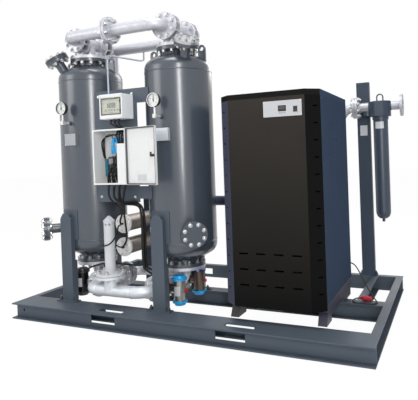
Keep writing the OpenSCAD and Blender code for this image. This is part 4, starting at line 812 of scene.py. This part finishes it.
# Enclosure door: a shallow white tray, open wide on two hinges.
# A foam gasket is glued inside its rim, clear of the quarter-turn lock.
# A flat stiffener and a bare label sit on its inner face.
DOOR = Matrix.Translation((-0.313, -0.722, 0)) @ Matrix.Rotation(math.radians(169), 4, "Z")
foam = coated("foam_gasket", (0.075, 0.075, 0.08), (0.12, 0.12, 0.12), 120, 0.7, 0.8, 0.15, 0.4)
STRIP, RIM = 0.006, 0.004
left, right, low, high = -0.305 + RIM, -0.007 - RIM, BOX_Z + RIM, BOX_Z + BOX_HEIGHT - RIM
foam_strips = [((left, low), (right, low + STRIP)), ((left, high - STRIP), (right, high)),
               ((left, low + STRIP), (left + STRIP, high - STRIP)),
               ((right - STRIP, low + STRIP), (right, high - STRIP))]
blocks("door_gasket", [((a[0], -0.006, a[1]), (b[0], 0.008, b[1])) for a, b in foam_strips], 0.003, foam,
       body="door", place=DOOR)
blocks("door_stiffener", [((-0.235, -0.006, BOX_Z + 0.095), (-0.080, -0.0035, BOX_Z + 0.320))], 0.0012,
       white_coat, body="door", place=DOOR)
blocks("door_label", [((-0.200, -0.0042, BOX_Z + 0.030), (-0.115, -0.0036, BOX_Z + 0.072))], 0.0002,
       label_white, body="door", place=DOOR)
LOCK_AT = (-0.279, -0.014, BOX_Z + BOX_HEIGHT / 2)
LOCK_FACE = [(0, 0), (0.0105, 0), (0.0105, 0.003), (0.009, 0.0045), (0.0045, 0.0045), (0.0045, 0.003),
             (0, 0.003)]
bm = bmesh.new()
lathe_into(bm, LOCK_FACE, DOOR @ facing(LOCK_AT, FRONT), 24)
settle("lock_face", bm, bright_steel, "lock")

# Controller: a white moulded housing with cover bars and a tinted window in an olive border.
# Behind the window sit a grey display and a row of keys on a beige face.
housing = coated("controller_housing", (0.96, 0.97, 0.98), (0.88, 0.90, 0.92), 30, 0.6, 0.42, 0.12, 0.08)
dress(housing, "controller_case")
smoked = bpy.data.materials.new("smoked_cover")
smoked.use_nodes = True
smoke = smoked.node_tree.nodes["Principled BSDF"]
smoke.inputs["Base Color"].default_value = (0.62, 0.64, 0.55, 1)
smoke.inputs["Alpha"].default_value = 0.20
smoke.inputs["Roughness"].default_value = 0.12
dress(smoked, "controller_window")
blocks("controller_bars", [((0.001, -0.004, z), (0.201, 0.001, z + 0.023)) for z in (0.156, 0.001)], 0.002,
       white_coat, CASE)
border_olive = coated("border_olive", (0.110, 0.108, 0.064), (0.080, 0.078, 0.046),
                      60, 0.6, 0.40, 0.1, 0.05)
border_strips = [((0.010, 0.028), (0.192, 0.037)), ((0.010, 0.143), (0.192, 0.152)),
                 ((0.010, 0.037), (0.021, 0.143)), ((0.181, 0.037), (0.192, 0.143))]
blocks("window_border", [((a[0], 0.0002, a[1]), (b[0], 0.0012, b[1])) for a, b in border_strips], 0.0,
       border_olive, CASE)
blocks("window_latches", [((0.180, -0.003, z), (0.193, 0.0004, z + 0.014)) for z in (0.050, 0.118)], 0.0008,
       black_mould, CASE)
bar_spots = [(Vector((CASE_X + x, CASE_Y - 0.004, CASE_Z + z)), FRONT)
             for x in (0.014, 0.188) for z in (0.0125, 0.1675)]
bolts("bar_screws", bar_spots, bright_steel, "zinc_steel", hex_radius=0.0035, hex_height=0.0015,
      tip_radius=0.003, tip_height=0.001, domed=True)
face_beige = coated("controller_beige", (0.66, 0.66, 0.56), (0.58, 0.58, 0.50), 40, 0.6, 0.45, 0.1, 0.05)
blocks("controller_face", [((0.022, 0.012, 0.046), (0.180, 0.018, 0.136))], 0.001, face_beige,
       CASE)
grey_cells = coated("display_grey", (0.070, 0.075, 0.062), (0.050, 0.054, 0.046),
                    200, 0.7, 0.25, 0.1, 0.02)
blocks("controller_display", [((0.060, 0.0095, 0.080), (0.136, 0.013, 0.116))], 0.0008, grey_cells,
       CASE)
KEY_STEP = 0.026
key_boxes = [((0.040 + k * KEY_STEP, 0.0095, 0.056), (0.058 + k * KEY_STEP, 0.013, 0.072)) for k in range(5)]
blocks("controller_keys", key_boxes, 0.002, terminal_grey, CASE)

# Gauges: black round cases with a pale rim, a white dial, a printed scale and a needle on its post.
# The screwed stem below each case is bare metal.
case_black = coated("gauge_black", *MOULD_COAT)
zoned(case_black, (-2, -2, 1.0), (1, 0, 1.579), (0.72, 0.72, 0.71), 0.4)
zoned(case_black, (-2, -0.72, 1.579), (1, -0.681, 1.8), (0.80, 0.80, 0.79))
dress(case_black, "gauge_cases")
dial_white = coated("dial_white", (0.82, 0.82, 0.80), (0.76, 0.76, 0.74), 40, 0.4, 0.4, 0.1, 0.02)
ink = coated("dial_ink", (0.015, 0.015, 0.016), (0.03, 0.03, 0.03), 80, 0.5, 0.5, 0.1, 0.02)
GAUGE_Y, GAUGE_Z = -0.660, 1.629
DIAL_Y = GAUGE_Y - 0.010
SWEEP = 270


def scale_tree():
    """Geometry Nodes tree: short bars on an arc of given sweep about every point, in the XZ plane."""
    tree = bpy.data.node_groups.new("dial_scale", "GeometryNodeTree")
    face = tree.interface
    face.new_socket("Geometry", in_out="INPUT", socket_type="NodeSocketGeometry")
    for label, kind in (("Radius", "Float"), ("Sweep", "Float"), ("Count", "Int"), ("Length", "Float"),
                        ("Width", "Float"), ("Material", "Material")):
        face.new_socket(label, in_out="INPUT", socket_type="NodeSocket" + kind)
    face.new_socket("Geometry", in_out="OUTPUT", socket_type="NodeSocketGeometry")
    make, link = tree.nodes.new, tree.links.new
    given, result = make("NodeGroupInput"), make("NodeGroupOutput")
    line, index = make("GeometryNodeMeshLine"), make("GeometryNodeInputIndex")
    gap, share, half, angle = (make("ShaderNodeMath") for _ in range(4))
    line.inputs["Offset"].default_value = (0, 0, 0)
    link(given.outputs["Count"], line.inputs["Count"])
    gap.operation, share.operation = "SUBTRACT", "DIVIDE"
    half.operation, angle.operation = "MULTIPLY", "MULTIPLY_ADD"
    link(given.outputs["Count"], gap.inputs[0])
    gap.inputs[1].default_value = 1
    link(given.outputs["Sweep"], share.inputs[0])
    link(gap.outputs[0], share.inputs[1])
    link(given.outputs["Sweep"], half.inputs[0])
    half.inputs[1].default_value = -0.5
    link(index.outputs[0], angle.inputs[0])
    link(share.outputs[0], angle.inputs[1])
    link(half.outputs[0], angle.inputs[2])
    turn, spot, bar_size = (make("ShaderNodeCombineXYZ") for _ in range(3))
    bar = make("GeometryNodeMeshCube")
    link(angle.outputs[0], turn.inputs["Y"])
    link(given.outputs["Width"], bar_size.inputs["X"])
    bar_size.inputs["Y"].default_value = 0.0004
    link(given.outputs["Length"], bar_size.inputs["Z"])
    link(bar_size.outputs[0], bar.inputs["Size"])
    link(given.outputs["Radius"], spot.inputs["Z"])
    lift, real = make("GeometryNodeTransform"), make("GeometryNodeRealizeInstances")
    arc, dials = make("GeometryNodeInstanceOnPoints"), make("GeometryNodeInstanceOnPoints")
    paint = make("GeometryNodeSetMaterial")
    link(bar.outputs["Mesh"], lift.inputs["Geometry"])
    link(spot.outputs[0], lift.inputs["Translation"])
    link(line.outputs["Mesh"], arc.inputs["Points"])
    link(lift.outputs[0], arc.inputs["Instance"])
    link(turn.outputs[0], arc.inputs["Rotation"])
    link(given.outputs["Geometry"], dials.inputs["Points"])
    link(arc.outputs[0], dials.inputs["Instance"])
    link(dials.outputs[0], real.inputs[0])
    link(real.outputs[0], paint.inputs["Geometry"])
    link(given.outputs["Material"], paint.inputs["Material"])
    link(paint.outputs[0], result.inputs[0])
    return tree


SCALE = scale_tree()
dial_centres = [(x, DIAL_Y - 0.0007, GAUGE_Z) for x in TOWERS]
DIAL_RING = [(0.0026, 0.0), (0.0026, 0.0005), (0.0445, 0.0005), (0.0445, 0.0)]
bm = bmesh.new()
for x in TOWERS:
    lathe_into(bm, DIAL_RING, facing((x, DIAL_Y, GAUGE_Z), FRONT), 48)
settle("gauge_dials", bm, dial_white, "frame")
grown("dial_marks", dial_centres, SCALE, "frame", "black_plastic", radius=0.0385,
      sweep=math.radians(SWEEP), count=41, length=0.004, width=0.0006, material=ink)
grown("dial_numbers_marks", dial_centres, SCALE, "frame", "black_plastic", radius=0.037,
      sweep=math.radians(SWEEP), count=9, length=0.0075, width=0.0013, material=ink)
NUMERAL_OUT, NUMERAL_SIZE, NUMERALS = 0.0265, 0.011, (0, 4, 8, 12, 16)
bm = bmesh.new()
for x in TOWERS:
    for k, number in enumerate(NUMERALS):
        turn = math.radians(SWEEP * (k / (len(NUMERALS) - 1) - 0.5))
        text = bpy.data.curves.new("numeral", "FONT")
        text.body = str(number)
        text.size = NUMERAL_SIZE
        text.align_x = text.align_y = "CENTER"
        holder = bpy.data.objects.new("numeral", text)
        bpy.context.scene.collection.objects.link(holder)
        graph = bpy.context.evaluated_depsgraph_get()
        flat = bpy.data.meshes.new_from_object(holder.evaluated_get(graph))
        spot = (x + NUMERAL_OUT * math.sin(turn), DIAL_Y - 0.0009, GAUGE_Z + NUMERAL_OUT * math.cos(turn))
        flat.transform(Matrix.Translation(spot) @ Matrix.Rotation(math.radians(90), 4, "X"))
        bm.from_mesh(flat)
        bpy.data.objects.remove(holder)
        bpy.data.meshes.remove(flat)
settle("dial_numerals", bm, ink, "frame")

# Cooler cabinet: folded sheet sides in dark blue, and a brown-black door with painted shade that darkens it
# downward.
# The door's left slant is painted with a blue-violet reflection, the right one is painted black as shade.
SIDE_BLUE = (0.056, 0.081, 0.128)
side_blue = coated("cabinet_blue", SIDE_BLUE, (0.044, 0.064, 0.102), 5, 0.8, 0.46, 0.12, 0.10, shine=0.0)
dress(side_blue, "cooler_panels")
top_blue = coated("cabinet_top", (0.016, 0.015, 0.014), (0.010, 0.010, 0.010),
                  5, 0.8, 0.40, 0.12, 0.08, shine=0.0)
zoned(top_blue, (1.079, -1, 1.4), (1.2, 0.4, 2), SIDE_BLUE)
dress(top_blue, "cooler_top_cover")
base_violet = coated("cabinet_base", (0.034, 0.033, 0.060), (0.020, 0.020, 0.034), 6, 0.8, 0.36, 0.12, 0.08)
zoned(base_violet, (0.2, -1, 0), (0.7, 0.4, 0.5), (0.006, 0.006, 0.007))
dress(base_violet, "cooler_base")
dress(black_iron, "cooling_unit")
door_coat = coated("cabinet_door", (0.040, 0.035, 0.030), (0.026, 0.023, 0.020),
                   5, 0.8, 0.46, 0.14, 0.12, shine=0.08)
# Painted shade: the door fades to black towards its bottom, where less light falls.
zoned(door_coat, (-20, -20, -1.3), (20, 20, 1.7), (0.002, 0.002, 0.002), faded=True)
# Painted reflection: the left slant is painted blue-violet as a sheen.
zoned(door_coat, (0.2, -1, 0), (0.472, 0.3, 2), (0.050, 0.054, 0.084))
# Painted shade: the right slant is painted black.
zoned(door_coat, (0.998, -1, 0), (1.2, 0.3, 2), (0.002, 0.002, 0.002))
dress(door_coat, "cooler_door")
cabinet_spots = [(Vector((x, y, z)), Vector((way, 0, 0))) for x, way in ((1.080, 1), (0.390, -1))
                 for y in (-0.560, 0.150) for z in (0.300, 0.720, 1.140, 1.560)]
cabinet_spots += [(Vector((x, 0.170, z)), Vector((0, 1, 0)))
                  for x in (0.410, 0.735, 1.060) for z in (0.300, 0.980, 1.560)]
bolts("cabinet_screws", cabinet_spots, black_iron, "zinc_steel", washer_radius=0.008, washer_height=0.001,
      tip_radius=0.0065, tip_height=0.0025, domed=True)

# Control plate: brushed sheet, screwed to the cabinet door at its corners.
# It holds a display, three keys and the mains rocker.
plate_steel = coated("plate_steel", (0.58, 0.59, 0.61), (0.48, 0.49, 0.51),
                     20, 0.7, 0.30, 0.12, 0.03, 0.85, (1, 1, 16))
dress(plate_steel, "control_plate")
blocks("plate_display", [((0.8245, -0.6528, 1.4855), (0.8775, -0.6512, 1.5225))], 0.0005, black_mould)
blocks("plate_digits", [((0.832, -0.6532, 1.500), (0.868, -0.6526, 1.516))], 0.0002, grey_cells)
blocks("plate_keys", [((x, -0.6545, 1.472), (x + 0.010, -0.6528, 1.480)) for x in (0.830, 0.846, 0.862)],
       0.0006, terminal_grey)
plate_spots = [(Vector((x, -0.653, z)), FRONT) for x in (0.732, 0.972) for z in (1.461, 1.545)]
bolts("plate_screws", plate_spots, bright_steel, "zinc_steel", tip_radius=0.0045, tip_height=0.0018,
      domed=True)

# Inlet filter: a dark blue bowl under an octagonal head in the inlet line.
# A bare label is wrapped on the bowl, another lies on the post beside it.
BOWL_BLUE = (0.040, 0.056, 0.084)
bowl_paint = coated("bowl_paint", BOWL_BLUE, (0.030, 0.042, 0.064), 12, 0.8, 0.30, 0.12, 0.05)
dress(bowl_paint, "filter_bowl")
head_coat = coated("filter_line", (0.52, 0.53, 0.56), (0.36, 0.36, 0.40), 22, 0.9, 0.36, 0.22, 0.06, 0.6)
zoned(head_coat, (1.18, 0.3, 1.3), (1.37, 1.0, 1.9), BOWL_BLUE, 0.0)
dress(head_coat, "filter_head")
FILTER = Vector((1.275, 0.640, 1.590))
LINE_FLANGE, BOWL_RADIUS = 1.094, 0.0610
line_face = facing((LINE_FLANGE, FILTER.y, FILTER.z), ALONG)
bolts("line_studs", circle_spots(line_face, 0, PORT_BOLTS, 8), bright_steel, "zinc_steel", grip=0.042,
      **STUD)
bm = bmesh.new()
wrapped_label(bm, FILTER, BOWL_RADIUS, -0.190, -0.132, -126, -58)
settle("bowl_label", bm, label_white, "frame")
blocks("post_label", [((1.084, 0.7467, 1.352), (1.146, 0.7476, 1.442))], 0.0003, label_white)

# Inside of the towers: a bed of packed drying beads between perforated steel plates.
# It is seen only with a cover off.
beads = coated("packed_beads", (0.70, 0.68, 0.62), (0.60, 0.58, 0.52), 160, 0.7, 0.7, 0.1, 0.8)
dress(beads, "desiccant_beds")
dress(bright_steel, "bed_screens")

# Stage: a pale floor that keeps the shadow, under a white surround.
# A tall lamp stands at the front right, soft ones above, at the left and behind.
FLOOR_HALF, FLOOR_Z = 30, -0.0005
floor_mesh = bpy.data.meshes.new("floor")
corners = [(x * FLOOR_HALF, y * FLOOR_HALF, FLOOR_Z) for x, y in ((-1, -1), (1, -1), (1, 1), (-1, 1))]
floor_mesh.from_pydata(corners, [], [(0, 1, 2, 3)])
floor = bpy.data.objects.new("floor", floor_mesh)
bpy.context.scene.collection.objects.link(floor)


def pale_light(tree):
    """A mask of the camera, mirror and glass rays in this tree, and a mix for it."""
    make, link = tree.nodes.new, tree.links.new
    path, mix = make("ShaderNodeLightPath"), make("ShaderNodeMixShader")
    either, any_of = make("ShaderNodeMath"), make("ShaderNodeMath")
    either.operation = any_of.operation = "MAXIMUM"
    link(path.outputs["Is Camera Ray"], either.inputs[0])
    link(path.outputs["Is Glossy Ray"], either.inputs[1])
    link(either.outputs[0], any_of.inputs[0])
    link(path.outputs["Is Transmission Ray"], any_of.inputs[1])
    return any_of.outputs[0], mix


floor_coat = bpy.data.materials.new("floor_white")
floor_coat.use_nodes = True
floor_tree = floor_coat.node_tree
floor_tree.nodes.remove(floor_tree.nodes["Principled BSDF"])
seen, mixed = pale_light(floor_tree)
make, link = floor_tree.nodes.new, floor_tree.links.new
matt, shine, strength = make("ShaderNodeBsdfDiffuse"), make("ShaderNodeEmission"), make("ShaderNodeMath")
matt.inputs["Color"].default_value = (0.82, 0.82, 0.82, 1)
shine.inputs["Strength"].default_value = 1.02
strength.operation = "MULTIPLY"
strength.inputs[1].default_value = 0.95
link(seen, strength.inputs[0])
link(strength.outputs[0], mixed.inputs["Fac"])
link(matt.outputs[0], mixed.inputs[1])
link(shine.outputs[0], mixed.inputs[2])
link(mixed.outputs[0], floor_tree.nodes["Material Output"].inputs["Surface"])
floor_mesh.materials.append(floor_coat)
world = bpy.data.worlds.new("surround")
bpy.context.scene.world = world
world.use_nodes = True
sky = world.node_tree
seen, mixed = pale_light(sky)
dim, white = sky.nodes["Background"], sky.nodes.new("ShaderNodeBackground")
dim.inputs["Color"].default_value = (0.92, 0.95, 1.0, 1)
dim.inputs["Strength"].default_value = 0.40
white.inputs["Strength"].default_value = 1.0
white.inputs["Color"].default_value = (1, 1, 1, 1)
link = sky.links.new
link(seen, mixed.inputs["Fac"])
link(dim.outputs[0], mixed.inputs[1])
link(white.outputs[0], mixed.inputs[2])
link(mixed.outputs[0], sky.nodes["World Output"].inputs["Surface"])
LAMPS = (
    ("lamp_key", (3.1, -5.1, 2.6), (-0.4, -0.3, 1.1), 0.5, 3.6, 170),
    ("lamp_top", (-0.3, -1.4, 7.0), (-0.2, -0.3, 0.5), 3.0, 3.0, 210),
    ("lamp_left", (-4.0, -4.4, 3.0), (-0.3, -0.2, 1.0), 2.5, 2.5, 60),
    ("lamp_back", (0.5, 4.5, 3.8), (0.0, 0.0, 1.2), 2.5, 2.5, 90),
)
for name, place, target, width, height, power in LAMPS:
    lamp_data = bpy.data.lights.new(name, "AREA")
    lamp_data.shape = "RECTANGLE"
    lamp_data.size = width
    lamp_data.size_y = height
    lamp_data.energy = power
    lamp_object = bpy.data.objects.new(name, lamp_data)
    bpy.context.scene.collection.objects.link(lamp_object)
    aim = (Vector(target) - Vector(place)).to_track_quat("-Z", "Y")
    lamp_object.matrix_world = Matrix.Translation(place) @ aim.to_matrix().to_4x4()
